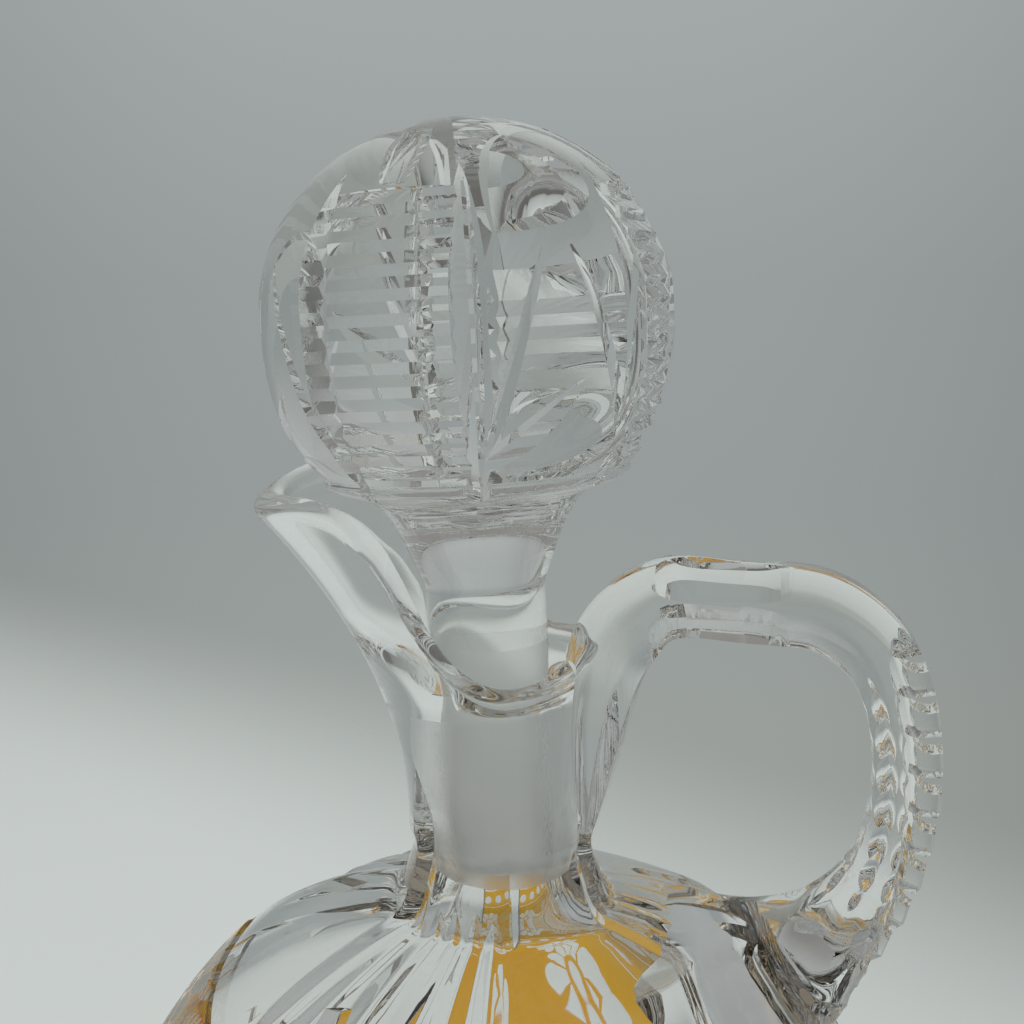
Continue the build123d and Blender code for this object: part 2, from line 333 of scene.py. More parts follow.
def discard(*pieces: bpy.types.Object) -> None:
    """Remove helper objects and their meshes."""
    for piece in pieces:
        mesh = piece.data
        bpy.data.objects.remove(piece)
        bpy.data.meshes.remove(mesh)


@dataclass
class Part:
    """Points and faces of one closed form that joins others in a mesh."""

    points: np.ndarray
    faces: list[tuple[int, ...]]


def spindle(place: Matrix, radius: float, length: float, columns: int = 40) -> Part:
    """Return a barrel-shaped grinding wheel.

    Args:
        place: Where it stands, its axis along Z.
        radius: Largest radius, halfway.
        length: Whole length.
        columns: Points round it.

    Returns:
        The closed form.
    """
    rings = []
    for share in np.linspace(-1, 1, 9):
        barrel = radius * (1 - BARREL_DROP * share * share)
        turn = 2 * math.pi * np.arange(columns) / columns
        level = np.full(columns, share * length / 2)
        rings.append(np.stack([barrel * np.cos(turn), barrel * np.sin(turn), level], axis=1))
    return capped(np.array(rings), place)


def wheel_leaf(
    place: Matrix, bend: float, length: float, depth: float, angle: float, overrun: float = 0.66
) -> Part:
    """Return the tool for a pointed V groove that follows the round of a surface.

    Args:
        place: Its middle on the surface, X out of the glass and Z along the groove.
        bend: Radius of the surface along the groove.
        length: Length between its points.
        depth: Depth halfway.
        angle: Half angle of the V, in degrees.
        overrun: How far the tool reaches to each side, as a share of the length.

    Returns:
        The closed form.
    """
    half_turn = length / 2 / bend
    tip = bend - depth + depth / (1 - math.cos(half_turn))
    rise = WHEEL_RISE * depth
    edge = rise * math.tan(math.radians(angle))
    rings = []
    for spin in np.linspace(-overrun * length / tip, overrun * length / tip, 41):
        ring = []
        for radius, side in ((tip, 0.0), (tip + rise, edge), (tip + rise, -edge)):
            ring.append((radius * math.cos(spin) - depth - tip, side, radius * math.sin(spin)))
        rings.append(ring)
    return capped(np.array(rings), place)


def capped(rings: np.ndarray, place: Matrix) -> Part:
    """Close rings of points at both ends and put them in place.

    Args:
        rings: Array of rings, columns and three values.
        place: Matrix that moves the points.

    Returns:
        The closed form.
    """
    count, columns = rings.shape[:2]
    points = np.concatenate([rings.reshape(-1, 3), rings[0].mean(axis=0)[None], rings[-1].mean(axis=0)[None]])
    faces = [tuple(map(int, face)) for face in grid_faces(count, columns)]
    low, high, last = count * columns, count * columns + 1, (count - 1) * columns
    faces += [(low, (column + 1) % columns, column) for column in range(columns)]
    faces += [(high, last + column, last + (column + 1) % columns) for column in range(columns)]
    return Part(placed(points, place), faces)


def merged(name: str, parts: Sequence[Part]) -> bpy.types.Object:
    """Make one cutting tool of several closed forms, whose faces leave the wheel-cut finish.

    Args:
        name: Name of the object.
        parts: The forms.

    Returns:
        The new object, with every skin as a slot.
    """
    points, faces, count = [], [], 0
    for part in parts:
        points.append(part.points)
        faces += [tuple(number + count for number in face) for face in part.faces]
        count += len(part.points)
    piece = mesh_object(name, np.concatenate(points), faces, [Skin.CUT.value] * len(faces))
    with edited(piece) as mesh:
        bmesh.ops.recalc_face_normals(mesh, faces=mesh.faces[:])
    return piece


@dataclass
class Vessel:
    """Hollow body, neck and pulled lip, in millimetres, with the amber casing on its panels."""

    foot_radius: float = 46.0
    body_radius: float = 73.5
    belly_height: float = 70.0
    shoulder_rise: float = 57.0
    shoulder_power: float = 2.05
    body_wall: float = 6.0
    floor_thickness: float = 11.0
    star_rays: int = 16
    star_depth: float = 1.6
    star_inner: float = 9.0
    star_outer: float = 38.0
    star_half_width: float = 2.6
    neck_radius: float = 16.8
    neck_straight: float = 14.0
    root_blend: float = 5.0
    lip_height: float = 72.0
    lip_reach: float = 39.5
    lip_power: float = 2.1
    lip_half_width: float = 19.5
    handle_flare: float = 2.6
    rim_wall: float = 4.2
    funnel: float = 18.0
    lip_wall: float = 2.6
    lip_swell: tuple[float, float] = (34.0, 62.0)
    rim_low: float = 39.0
    rim_tip: float = 65.2
    rim_handle: float = 45.5
    rim_low_place: float = 5.0
    rim_tilt: float = 9.0
    rim_round: float = 3.0
    bead_swell: float = 0.34
    bead_rise: float = 1.1
    panel_count: int = 6
    panel_turn: float = -72.0
    panel_depth: float = 2.8
    groove_foot: float = 60.0
    groove_top: float = 155.0
    groove_width: float = 3.6
    groove_depth: float = 2.2
    flute_foot: float = 60.0
    flute_spread: float = 11.0
    flute_side_count: int = 2
    flute_width: float = 2.9
    flute_depth: float = 1.5
    leaf_radius: float = 55.0
    leaf_spread: float = 10.5
    leaf_length: float = 30.0
    leaf_depth: float = 1.5
    leaf_angle: float = 66.0
    leaf_tilt: float = 16.0
    leaf_bend: float = 60.0
    belly_rows: tuple[tuple[float, tuple[int, ...]], ...] = ((54.0, (-20, -10, 0, 10, 20)), (30.0, (-15, -5, 5, 15)))
    belly_bend: float = 70.0
    belly_leaf_length: float = 19.0
    belly_leaf_depth: float = 1.2
    belly_leaf_angle: float = 60.0
    socket_lean: float = 3.5
    socket_height: float = 30.0
    plug_top: float = 10.1
    plug_taper: float = 0.055
    amber_thickness: float = 0.6
    amber_bottom: float = 24.0
    amber_top: float = 109.0
    columns: int = 336
    neck_base: float = field(init=False)

    def __post_init__(self) -> None:
        """Work out the level of the neck's base."""
        self.neck_base = self.belly_height + self.shoulder_rise + self.root_blend

    def angles(self) -> np.ndarray:
        """Return the directions of the columns, the first one on a ridge between panels."""
        first = math.radians(self.panel_turn - 180 / self.panel_count - 90)
        return first + 2 * math.pi * np.arange(self.columns) / self.columns

    def shoulder_level(self, radius: np.ndarray) -> np.ndarray:
        """Return the height of the uncut shoulder at a radius."""
        share = (radius / self.body_radius) ** self.shoulder_power
        return self.belly_height + self.shoulder_rise * (1 - share) ** (1 / self.shoulder_power)

    def panelled(self, radius: float, depth: float) -> np.ndarray:
        """Return the radius of each column where a level is cut to flat-arched panels.

        Args:
            radius: Radius at the ridges.
            depth: How far the middle of a panel lies inside that.

        Returns:
            A radius for each column.
        """
        if depth < 1e-6:
            return np.full(self.columns, radius)
        half = math.pi / self.panel_count
        middle = radius - depth
        centre = (radius**2 - middle**2) / (2 * (radius * math.cos(half) - middle))
        away = (self.angles() - self.angles()[0]) % (2 * half) - half
        return centre * np.cos(away) + math.copysign(1, middle - centre) * np.sqrt(
            (middle - centre) ** 2 - (centre * np.sin(away)) ** 2
        )

    def level(self, radii: np.ndarray | float, height: np.ndarray | float) -> np.ndarray:
        """Return one ring of points round the middle axis."""
        turn = self.angles()
        radii = np.broadcast_to(radii, turn.shape)
        height = np.broadcast_to(height, turn.shape)
        return np.stack([radii * np.cos(turn), radii * np.sin(turn), height], axis=1)

    def foot_rings(self) -> list[np.ndarray]:
        """Return the rings of the flat underside with its cut star."""
        rings = []
        middle = (self.star_inner + self.star_outer) / 2
        half = (self.star_outer - self.star_inner) / 2
        turn = (self.angles() * self.star_rays / (2 * math.pi)) % 1
        for radius in np.concatenate([[3.0, 6.0], np.linspace(8.5, 38.5, 21), [41.0, 43.5, 45.2]]):
            reach = max(0.0, 1 - ((radius - middle) / half) ** 2)
            arc = 2 * math.pi * radius / self.star_rays
            side = np.abs(turn - 0.5) * arc / self.star_half_width
            cut = np.clip(reach - side, 0, None) * self.star_depth
            rings.append(self.level(radius, cut))
        return rings

    def side_rings(self) -> list[np.ndarray]:
        """Return the rings of the belly, the panelled shoulder and the root of the neck."""
        rings = []
        rise = SmoothCurve([(self.foot_radius, 0), (self.body_radius, self.belly_height)], (1, 0.35), (0, 1))
        for radius, height in rise.at(np.concatenate([[0.008], np.linspace(0.02, 1, 27)])):
            rings.append(self.level(radius, height))
        root = self.neck_radius + self.root_blend
        stations = []
        for share in np.linspace(0, 1, 45)[1:]:
            radius = self.body_radius - (self.body_radius - root) * share**1.5
            depth = self.panel_depth * math.sin(math.pi * (0.06 + 0.8 * share)) * float(smooth_step(share, -0.03, 0.12))
            stations.append((radius, float(self.shoulder_level(radius)), depth))
        last = stations[-1][2]
        tail = SmoothCurve(
            stations[-3:]
            + [
                (self.neck_radius + 1.5, self.neck_base - 1.5, last * 0.8),
                (self.neck_radius, self.neck_base + 5.0, last * 0.6),
                (self.neck_radius, self.neck_base + self.neck_straight / 2, 0.0),
            ]
        )
        stations = stations[:-3] + [tuple(row) for row in tail.even(22)]
        for radius, height, depth in stations:
            rings.append(self.level(self.panelled(radius, depth) - self.ridge_groove(radius, height), height))
        return rings

    def ridge_groove(self, radius: float, height: float) -> np.ndarray:
        """Return how deep the grooves on every other ridge and the flutes cut at a level."""
        reach = float(smooth_step(self.groove_foot - radius, 0, 16) * smooth_step(self.groove_top - height, 0, 14))
        half = 2 * math.pi / self.panel_count
        turn = self.angles() - self.angles()[0] + half / 2
        away = np.abs(turn % (2 * half) - half - half / 2)
        away = np.minimum(away, 2 * half - away)
        side = away * radius / (self.groove_width * max(reach, 0.05))
        return self.groove_depth * reach * np.clip(1 - side, 0, None) + self.flutes(radius, height)

    def flutes(self, radius: float, height: float) -> np.ndarray:
        """Return how deep the long flutes cut that run down a clear panel from the neck."""
        reach = float(smooth_step(self.flute_foot - radius, 0, 15) * smooth_step(self.neck_base - 2.0 - height, 0, 9))
        if reach < 1e-6:
            return np.zeros(self.columns)
        period = 4 * math.pi / self.panel_count
        turn = (self.angles() - self.angles()[0] - 0.75 * period + period / 2) % period - period / 2
        spread = math.radians(self.flute_spread)
        nearest = np.clip(np.round(turn / spread), -self.flute_side_count, self.flute_side_count) * spread
        side = np.abs(turn - nearest) * radius / (self.flute_width * max(reach, 0.05))
        return self.flute_depth * reach * np.clip(1 - side, 0, None)

    def neck_points(self, heights: np.ndarray, inset: float) -> np.ndarray:
        """Return points of the neck's wall, one column for each height or many heights.

        Args:
            heights: Heights over the neck's base, one for each column or rows of them.
            inset: Distance inside the outer wall.

        Returns:
            Points with the shape of heights and three values.
        """
        start = self.neck_straight / 2
        share = np.clip((heights - start) / (self.lip_height - start), 0, None)
        left = self.neck_radius + self.lip_reach * share**self.lip_power - inset
        right = self.neck_radius + self.handle_flare * share - inset
        half_width = self.neck_radius + (self.lip_half_width - self.neck_radius) * share - inset
        turn = self.angles()
        return np.stack(
            [
                (right - left) / 2 + (left + right) / 2 * np.cos(turn),
                half_width * np.sin(turn) + 0 * share,
                self.neck_base + heights,
            ],
            axis=-1,
        )

    def inner_points(self, heights: np.ndarray) -> np.ndarray:
        """Return points of the neck's inner wall, which is thicker toward the lip's tip."""
        outer = self.neck_points(heights, 0.0)
        thick = self.rim_wall + self.lip_wall * smooth_step(heights, *self.lip_swell)
        inner = self.neck_points(heights, 1.0)
        return outer + (inner - outer) * thick[..., None]

    def rim_levels(self, inside: bool) -> np.ndarray:
        """Return where each column of a neck wall meets the rim.

        Args:
            inside: Whether it is the inner wall.

        Returns:
            A height over the neck's base for each column.
        """
        start = self.neck_straight / 2
        tip = self.neck_radius + self.lip_reach * ((self.rim_tip / self.lip_height) ** self.lip_power)
        low, high = self.neck_base + self.rim_low, self.neck_base + self.rim_tip
        curve = SmoothCurve(
            [
                (-tip - 16.0, high - 8.0),
                (-tip, high),
                (-tip * 0.72, high + 3.0),
                (-tip * 0.5, high + 1.0),
                (-tip * 0.22, low * 0.62 + high * 0.38),
                (self.rim_low_place, low),
                (self.neck_radius + 1.2, self.neck_base + self.rim_handle - 2.0),
                (self.neck_radius + 10.0, self.neck_base + self.rim_handle + 4.0),
            ]
        ).at(np.linspace(0, 1, 900))
        heights = np.linspace(start, self.lip_height + 3, 700)
        levels = np.repeat(heights[:, None], self.columns, axis=1)
        points = self.inner_points(levels) if inside else self.neck_points(levels, 0.0)
        lean = math.radians(self.rim_tilt)
        local = low + (points[..., 2] - low) * math.cos(lean) - points[..., 1] * math.sin(lean)
        over = local - np.interp(points[..., 0], curve[:, 0], curve[:, 1])
        first = np.argmax(over >= 0, axis=0)
        columns = np.arange(self.columns)
        above, below = over[first, columns], over[first - 1, columns]
        return heights[first] - (heights[first] - heights[first - 1]) * above / (above - below)

    def neck_rings(self) -> list[np.ndarray]:
        """Return the rings of the neck's outer wall up to where the rim rounds over."""
        start = self.neck_straight / 2
        top = self.rim_levels(False) - self.rim_round
        rings = []
        for share in np.linspace(0, 1, 43)[1:]:
            ring = self.neck_points(start + (top - start) * share, 0.0)
            groove = self.ridge_groove(self.neck_radius, float(ring[0, 2]))
            ring[:, 0] -= groove * np.cos(self.angles())
            ring[:, 1] -= groove * np.sin(self.angles())
            rings.append(ring)
        return rings

    def leaves(self, outer: np.ndarray) -> list[bpy.types.Object]:
        """Return the tools for the leaf cuts on every clear panel.

        Args:
            outer: Rings of the outer surface.

        Returns:
            Three tools for the fans on the shoulder, and one for each row of leaves on the belly.
        """
        along, normal = directions(outer)
        radii = np.linalg.norm(outer[..., :2], axis=-1)
        width = self.columns // self.panel_count
        step = round(self.leaf_spread / 360 * self.columns)
        tools = []
        for hand in (-1, 0, 1):
            parts = []
            for number in range(1, self.panel_count, 2):
                column = (number * width + width // 2 + hand * step) % self.columns
                rows = np.nonzero((outer[:, column, 2] > self.belly_height) & (radii[:, column] < self.leaf_radius))[0]
                spot = outer[rows[0], column]
                out = Vector(normal[rows[0], column])
                up = Vector(along[rows[0], column]).normalized()
                place = Matrix.Translation(Vector(spot)) @ frame_of(out, up)
                place = place @ Matrix.Rotation(math.radians(-hand * self.leaf_tilt), 4, "X")
                parts.append(wheel_leaf(place, self.leaf_bend, self.leaf_length, self.leaf_depth, self.leaf_angle))
            tools.append(merged(f"shoulder_leaves_{len(tools)}", parts))
        for height, spots in self.belly_rows:
            parts = []
            row = int(np.argmin(np.where(radii[:, 0] < self.foot_radius, np.inf, np.abs(outer[:, 0, 2] - height))))
            for number in range(1, self.panel_count, 2):
                for spot in spots:
                    column = (number * width + width // 2 + spot) % self.columns
                    place = Matrix.Translation(Vector(outer[row, column]))
                    place = place @ frame_of(Vector(normal[row, column]), Vector(along[row, column]).normalized())
                    length, depth = self.belly_leaf_length, self.belly_leaf_depth
                    parts.append(wheel_leaf(place, self.belly_bend, length, depth, self.belly_leaf_angle))
            tools.append(merged(f"body_leaves_{len(tools)}", parts))
        return tools

    def rim_rings(self) -> list[np.ndarray]:
        """Return the rings of the rounded rim, from the outer wall over to the inner one."""
        outer_top = self.rim_levels(False) - self.rim_round
        inner_top = self.rim_levels(True) - self.rim_round
        outer, inner = self.neck_points(outer_top, 0.0), self.inner_points(inner_top)
        outer_run = outer - self.neck_points(outer_top - 1.0, 0.0)
        inner_run = inner - self.inner_points(inner_top - 1.0)
        side = (outer - inner) / 2
        half = np.linalg.norm(side, axis=1, keepdims=True)
        way = outer_run / np.linalg.norm(outer_run, axis=1, keepdims=True)
        way += inner_run / np.linalg.norm(inner_run, axis=1, keepdims=True)
        unit = side / half
        way -= unit * np.sum(way * unit, axis=1, keepdims=True)
        way /= np.linalg.norm(way, axis=1, keepdims=True)
        middle = (outer + inner) / 2
        rings = []
        for turn in np.linspace(0, math.pi, 18)[1:]:
            bead = 1 + self.bead_swell * math.sin(turn)
            rings.append(middle + side * math.cos(turn) * bead + way * half * self.bead_rise * math.sin(turn))
        return rings

    def mouth_rings(self) -> list[np.ndarray]:
        """Return the rings of the inside of the lip, down to the ground socket."""
        top = self.rim_levels(True) - self.rim_round
        low = np.minimum(self.socket_height + self.funnel, top - 0.8)
        rings = [self.inner_points(low + (top - low) * share) for share in np.linspace(1, 0, 16)[1:]]
        throat = self.socket_ring(self.socket_height)
        above = self.inner_points(low)
        drop = (low - self.socket_height)[:, None]
        down = (self.inner_points(low - 1.0) - above) * drop
        for share in np.linspace(0, 1, 15)[1:]:
            square, cube = share**2, share**3
            ring = above * (2 * cube - 3 * square + 1) + throat * (3 * square - 2 * cube)
            ring += down * (cube - 2 * square + share)
            ring[:, 2] -= drop[:, 0] * (cube - square)
            rings.append(ring)
        return rings

    def socket_ring(self, height: float, grow: float = 0.0) -> np.ndarray:
        """Return one ring of the ground bore, which leans toward the lip."""
        radius = self.plug_top - self.plug_taper * (self.socket_height - height) + grow
        lean = math.radians(self.socket_lean)
        ring = self.level(radius, 0.0)
        turned_x = ring[:, 0] * math.cos(lean) - height * math.sin(lean)
        turned_z = ring[:, 0] * math.sin(lean) + height * math.cos(lean)
        return np.stack([turned_x, ring[:, 1], self.neck_base + turned_z], axis=1)

    def socket_rings(self) -> list[np.ndarray]:
        """Return the rings of the ground bore from the top down."""
        return [self.socket_ring(height) for height in np.linspace(self.socket_height - 0.6, -0.5, 20)]

    def cavity_rings(self) -> list[np.ndarray]:
        """Return the rings of the room for the drink, from the neck down to its floor."""
        inside = self.body_radius - self.body_wall
        crown = (inside * 0.55, float(self.shoulder_level(self.body_radius * 0.62)) - self.body_wall)
        throat = self.plug_top - self.plug_taper * (self.socket_height + 2.0)
        over = SmoothCurve([(inside, self.belly_height), crown, (throat, self.neck_base - 2.0)], (0, 1), (0, 1))
        low = (self.foot_radius - self.body_wall, self.floor_thickness)
        rise = SmoothCurve([low, (inside, self.belly_height)], (1, 0.2), (0, 1))
        rings = []
        for share in np.linspace(1, 0, 27):
            radius, height = over.at(np.array([share]))[0]
            rings.append(self.level(radius, height))
        for share in np.linspace(1, 0, 18)[1:]:
            radius, height = rise.at(np.array([share]))[0]
            rings.append(self.level(radius, height))
        for radius in (36.0, 30.0, 22.0, 14.0, 7.0):
            rings.append(self.level(radius, self.floor_thickness - 0.25 * (1 - (radius / 40.0) ** 2)))
        return rings

    def outer(self) -> np.ndarray:
        """Return the outer rings from the foot to the rim."""
        return np.array(self.foot_rings() + self.side_rings() + self.neck_rings())

    def casing_rows(self, rings: np.ndarray) -> tuple[int, int]:
        """Return the first and last ring that the amber casing covers."""
        heights = rings[:, 0, 2]
        rows = np.nonzero((heights >= self.amber_bottom) & (heights <= self.amber_top))[0]
        return int(rows[0]), int(rows[-1])

    def casing_columns(self, number: int) -> np.ndarray:
        """Return the column numbers that one amber panel covers."""
        width = self.columns // self.panel_count
        return np.arange(2 * number * width + 1, (2 * number + 1) * width)

    def build(self, handle: bpy.types.Object) -> bpy.types.Object:
        """Make the vessel as one closed piece of glass, open only where the handle is fused to it.

        Args:
            handle: The handle's whole form, which is cut back to the vessel's surface.

        Returns:
            The vessel's object.
        """
        outer = self.outer()
        first, last = self.casing_rows(outer)
        count = len(outer)
        envelope = closed_grid("envelope", outer, (0, 0, 0), outer[-1].mean(axis=0), [0] * count + [Skin.CAP.value])
        seam = np.zeros((count - 1, self.columns), np.int32)
        for number in range(self.panel_count // 2):
            columns = self.casing_columns(number)
            seam[first:last, columns[:-1]] = Skin.SEAM.value
        marks = np.concatenate(
            [seam.ravel(), np.zeros(self.columns, np.int32), np.full(self.columns, Skin.CAP.value, np.int32)]
        )
        envelope.data.polygons.foreach_set("material_index", marks)
        for leaves in self.leaves(outer):
            cut_with(envelope, leaves)
            discard(leaves)
        blank, tool = copied(envelope, Skin.CAP), copied(handle, Skin.CAP)
        cut_with(envelope, tool)
        cut_with(handle, blank)
        discard(blank, tool)
        for piece in (envelope, handle):
            drop_skin(piece, Skin.CAP)
        above = self.rim_rings() + self.mouth_rings()
        socket = self.socket_rings()
        inner = np.concatenate([outer[-1:], np.array(above + socket + self.cavity_rings())])
        bands = [Skin.POLISHED.value] * (len(inner) + 1)
        ground = 1 + len(above)
        bands[ground : ground + len(socket)] = [Skin.GROUND.value] * len(socket)
        lining = closed_grid("lining", inner, None, inner[-1].mean(axis=0), bands)
        return joined("vessel_glass", [envelope, lining])


def frame_of(out: Vector, up: Vector) -> Matrix:
    """Return the turn that brings X to one direction and Z to another across it."""
    side = up.cross(out).normalized()
    return Matrix((out, side, out.cross(side))).transposed().to_4x4()


def drop_skin(piece: bpy.types.Object, skin: Skin) -> None:
    """Delete the faces of a mesh that carry one slot number."""
    with edited(piece) as mesh:
        faces = [face for face in mesh.faces if face.material_index == skin.value]
        bmesh.ops.delete(mesh, geom=faces, context="FACES")


def joined(name: str, pieces: Sequence[bpy.types.Object]) -> bpy.types.Object:
    """Merge meshes into one object and weld their common points.

    Args:
        name: Name of the new object.
        pieces: Objects to merge. They are removed.

    Returns:
        The new object.
    """
    mesh = bmesh.new()
    for piece in pieces:
        mesh.from_mesh(piece.data)
    bmesh.ops.remove_doubles(mesh, verts=mesh.verts[:], dist=WELD_DISTANCE)
    data = bpy.data.meshes.new(name)
    mesh.to_mesh(data)
    mesh.free()
    discard(*pieces)
    return linked(name, data)


@dataclass
class AmberPanels:
    """Three thin amber casings on every other panel of the vessel."""

    vessel: Vessel
    sides: tuple[str, ...] = ("lip_side", "grip_side", "far_side")
    edge_width: float = 1.4

    def build(self) -> list[bpy.types.Object]:
        """Make the three casings, each a closed sheet whose inner face is fused to the vessel."""
        outer = self.vessel.outer()
        first, last = self.vessel.casing_rows(outer)
        _, normal = directions(outer)
        pieces = []
        for number, side in enumerate(self.sides):
            columns = self.vessel.casing_columns(number)
            base = outer[first : last + 1][:, columns]
            out = normal[first : last + 1][:, columns]
            rows, width = base.shape[:2]
            step = np.linalg.norm(np.diff(base, axis=0), axis=-1)
            up = np.concatenate([np.zeros((1, width)), np.cumsum(step, axis=0)])
            step = np.linalg.norm(np.diff(base, axis=1), axis=-1)
            across = np.concatenate([np.zeros((rows, 1)), np.cumsum(step, axis=1)], axis=1)
            edge = np.minimum(np.minimum(up, up[-1] - up), np.minimum(across, across[:, -1:] - across))
            lift = self.vessel.amber_thickness * np.sin(np.clip(edge / self.edge_width, 0, 1) * math.pi / 2)
            raised = base + out * lift[..., None]
            points = np.concatenate([raised.reshape(-1, 3), base.reshape(-1, 3)])
            index = np.arange(rows * width).reshape(rows, width)
            quads = np.stack([index[:-1, :-1], index[:-1, 1:], index[1:, 1:], index[1:, :-1]], axis=-1).reshape(-1, 4)
            back = quads[:, ::-1] + rows * width
            faces = np.concatenate([quads, back])
            skins = np.concatenate([np.zeros(len(quads), np.int32), np.full(len(back), Skin.SEAM.value, np.int32)])
            piece = mesh_object(f"amber_panel_{side}_glass", points, faces, skins)
            layer = piece.data.uv_layers.new(name="panel")
            flat = np.stack([(across - across[:, -1:] / 2), up], axis=-1).reshape(-1, 2)
            flat = np.concatenate([flat, flat]) / PANEL_UNIT
            corners = np.zeros(len(piece.data.loops), np.int32)
            piece.data.loops.foreach_get("vertex_index", corners)
            layer.data.foreach_set("uv", flat[corners].ravel())
            with edited(piece) as mesh:
                bmesh.ops.remove_doubles(mesh, verts=mesh.verts[:], dist=WELD_DISTANCE)
            pieces.append(piece)
        return pieces


@dataclass
class Handle:
    """Applied handle from the neck over the grip to the shoulder, in millimetres."""

    neck_base: float = 132.0
    neck_radius: float = 16.8
    bar_height: float = 55.0
    bar_thickness: float = 13.8
    grip_reach: float = 75.0
    grip_thickness: float = 11.4
    grip_depth: float = 14.0
    bevel: float = 0.3
    tail_depth: float = 21.0
    tail_bottom: float = 8.0
    end_depth: float = 60.0
    end_thickness: float = 27.0
    notch_count: int = 11
    notch_pitch: float = 7.0
    notch_radius: float = 5.2
    notch_depth: float = 4.9
    notch_width: float = 12.0
    notch_inset: float = 1.2
    notch_bend_up: float = 0.0055
    notch_bend_down: float = 0.0068
    notch_turn: float = 0.78
    grip_middle: float = 24.0
    flat_start: float = 27.0
    flat_end: float = 51.0
    flat_depth: float = 1.1
    flat_overrun: float = 0.5
    flat_turns: tuple[float, ...] = (42.0, 138.0, 222.0, 318.0)
    tool_side: float = 5.0
    tool_rise: float = 8.0
    bar_lift: float = 1.8
    corner_points: int = 4
    corner_round: float = 0.06
    end_round: float = 0.3

    def bar_level(self) -> float:
        """Return the height of the bar's middle line."""
        return self.neck_base + self.bar_height - self.bar_thickness / 2 + self.bar_lift

    def stations(self) -> list[tuple[float, float, float, float, float]]:
        """Return the places along the handle: x, height, lean, thickness and depth."""
        bar = self.bar_level()
        inner = self.grip_reach - self.grip_thickness / 2
        tail = self.neck_radius - 1.0
        base, rise = self.neck_base, self.bar_height
        return [
            (tail, base + self.tail_bottom, 0, 3.0, self.tail_depth * 0.5),
            (tail + 0.6, base + rise * 0.3, 0, 7.0, self.tail_depth * 0.85),
            (tail + 1.6, base + rise * 0.55, 8, 12.0, self.tail_depth),
            (tail + 5.4, base + rise * 0.79, 32, 14.5, self.tail_depth * 0.85),
            (tail + 13.5, bar, 78, self.bar_thickness, self.grip_depth * 1.1),
            (inner - 27.0, bar, 90, self.bar_thickness, self.grip_depth),
            (inner - 15.5, bar - 0.4, 98, self.bar_thickness * 0.98, self.grip_depth),
            (inner - 5.0, bar - 7.5, 143, self.bar_thickness * 0.86, self.grip_depth),
            (inner - 0.4, bar - 20.0, 172, self.grip_thickness, self.grip_depth),
            (inner, bar - 34.0, 184, self.grip_thickness, self.grip_depth),
            (inner - 3.6, bar - 48.0, 204, self.grip_thickness * 1.1, self.grip_depth * 1.1),
            (inner - 12.5, bar - 60.0, 224, self.end_thickness * 0.62, self.end_depth * 0.42),
            (inner - 23.0, bar - 68.5, 234, self.end_thickness * 0.85, self.end_depth * 0.7),
            (inner - 34.0, bar - 73.0, 248, self.end_thickness, self.end_depth * 0.93),
            (inner - 46.0, bar - 75.0, 262, self.end_thickness * 0.95, self.end_depth),
        ]

    def outline(self, thickness: float, depth: float) -> np.ndarray:
        """Return a bevelled section with rounded corners, x through and y across the handle.

        Args:
            thickness: Size through the handle.
            depth: Size across the handle.

        Returns:
            Points of the section, two values a row.
        """
        cut = self.bevel * min(thickness, depth)
        x, y = thickness / 2, depth / 2
        corners = np.array(
            [(x, -y + cut), (x, y - cut), (x - cut, y), (-x + cut, y)]
            + [(-x, y - cut), (-x, -y + cut), (-x + cut, -y), (x - cut, -y)]
        )
        before, after = np.roll(corners, 1, axis=0), np.roll(corners, -1, axis=0)
        soft = self.corner_round + self.end_round * float(smooth_step(thickness, 12.5, 19.0))
        pull = soft * min(thickness, depth)
        points = []
        for corner, back, ahead in zip(corners, before, after):
            to_back = (back - corner) / np.linalg.norm(back - corner)
            to_ahead = (ahead - corner) / np.linalg.norm(ahead - corner)
            reach = min(pull, 0.42 * np.linalg.norm(back - corner), 0.42 * np.linalg.norm(ahead - corner))
            first, last = corner + to_back * reach, corner + to_ahead * reach
            for share in np.linspace(0, 1, self.corner_points):
                points.append((1 - share) ** 2 * first + 2 * share * (1 - share) * corner + share**2 * last)
        return np.array(points)

    def build(self) -> bpy.types.Object:
        """Make the whole handle with its thumb cuts, before it meets the vessel."""
        stations = np.array(self.stations(), float)
        places = SmoothCurve(stations[:, :2])
        marks = places.marks / places.marks[-1]
        rings = []
        shares = np.linspace(0, 1, 190)
        spots = places.at(shares)
        others = np.stack([smooth_values(marks, stations[:, column], shares) for column in (2, 3, 4)], axis=1)
        for (x, height), (lean, thickness, depth) in zip(spots, others):
            section = self.outline(thickness, depth)
            turn = math.radians(lean)
            out, up = x + section[:, 0] * math.cos(turn), height - section[:, 0] * math.sin(turn)
            rings.append(np.stack([out, section[:, 1], up], axis=1))
        rings = np.array(rings)
        piece = closed_grid("handle_glass", rings, rings[0].mean(axis=0), rings[-1].mean(axis=0))
        tool = merged("handle_cuts", self.notches() + self.flats())
        cut_with(piece, tool, crossing=True)
        discard(tool)
        return piece

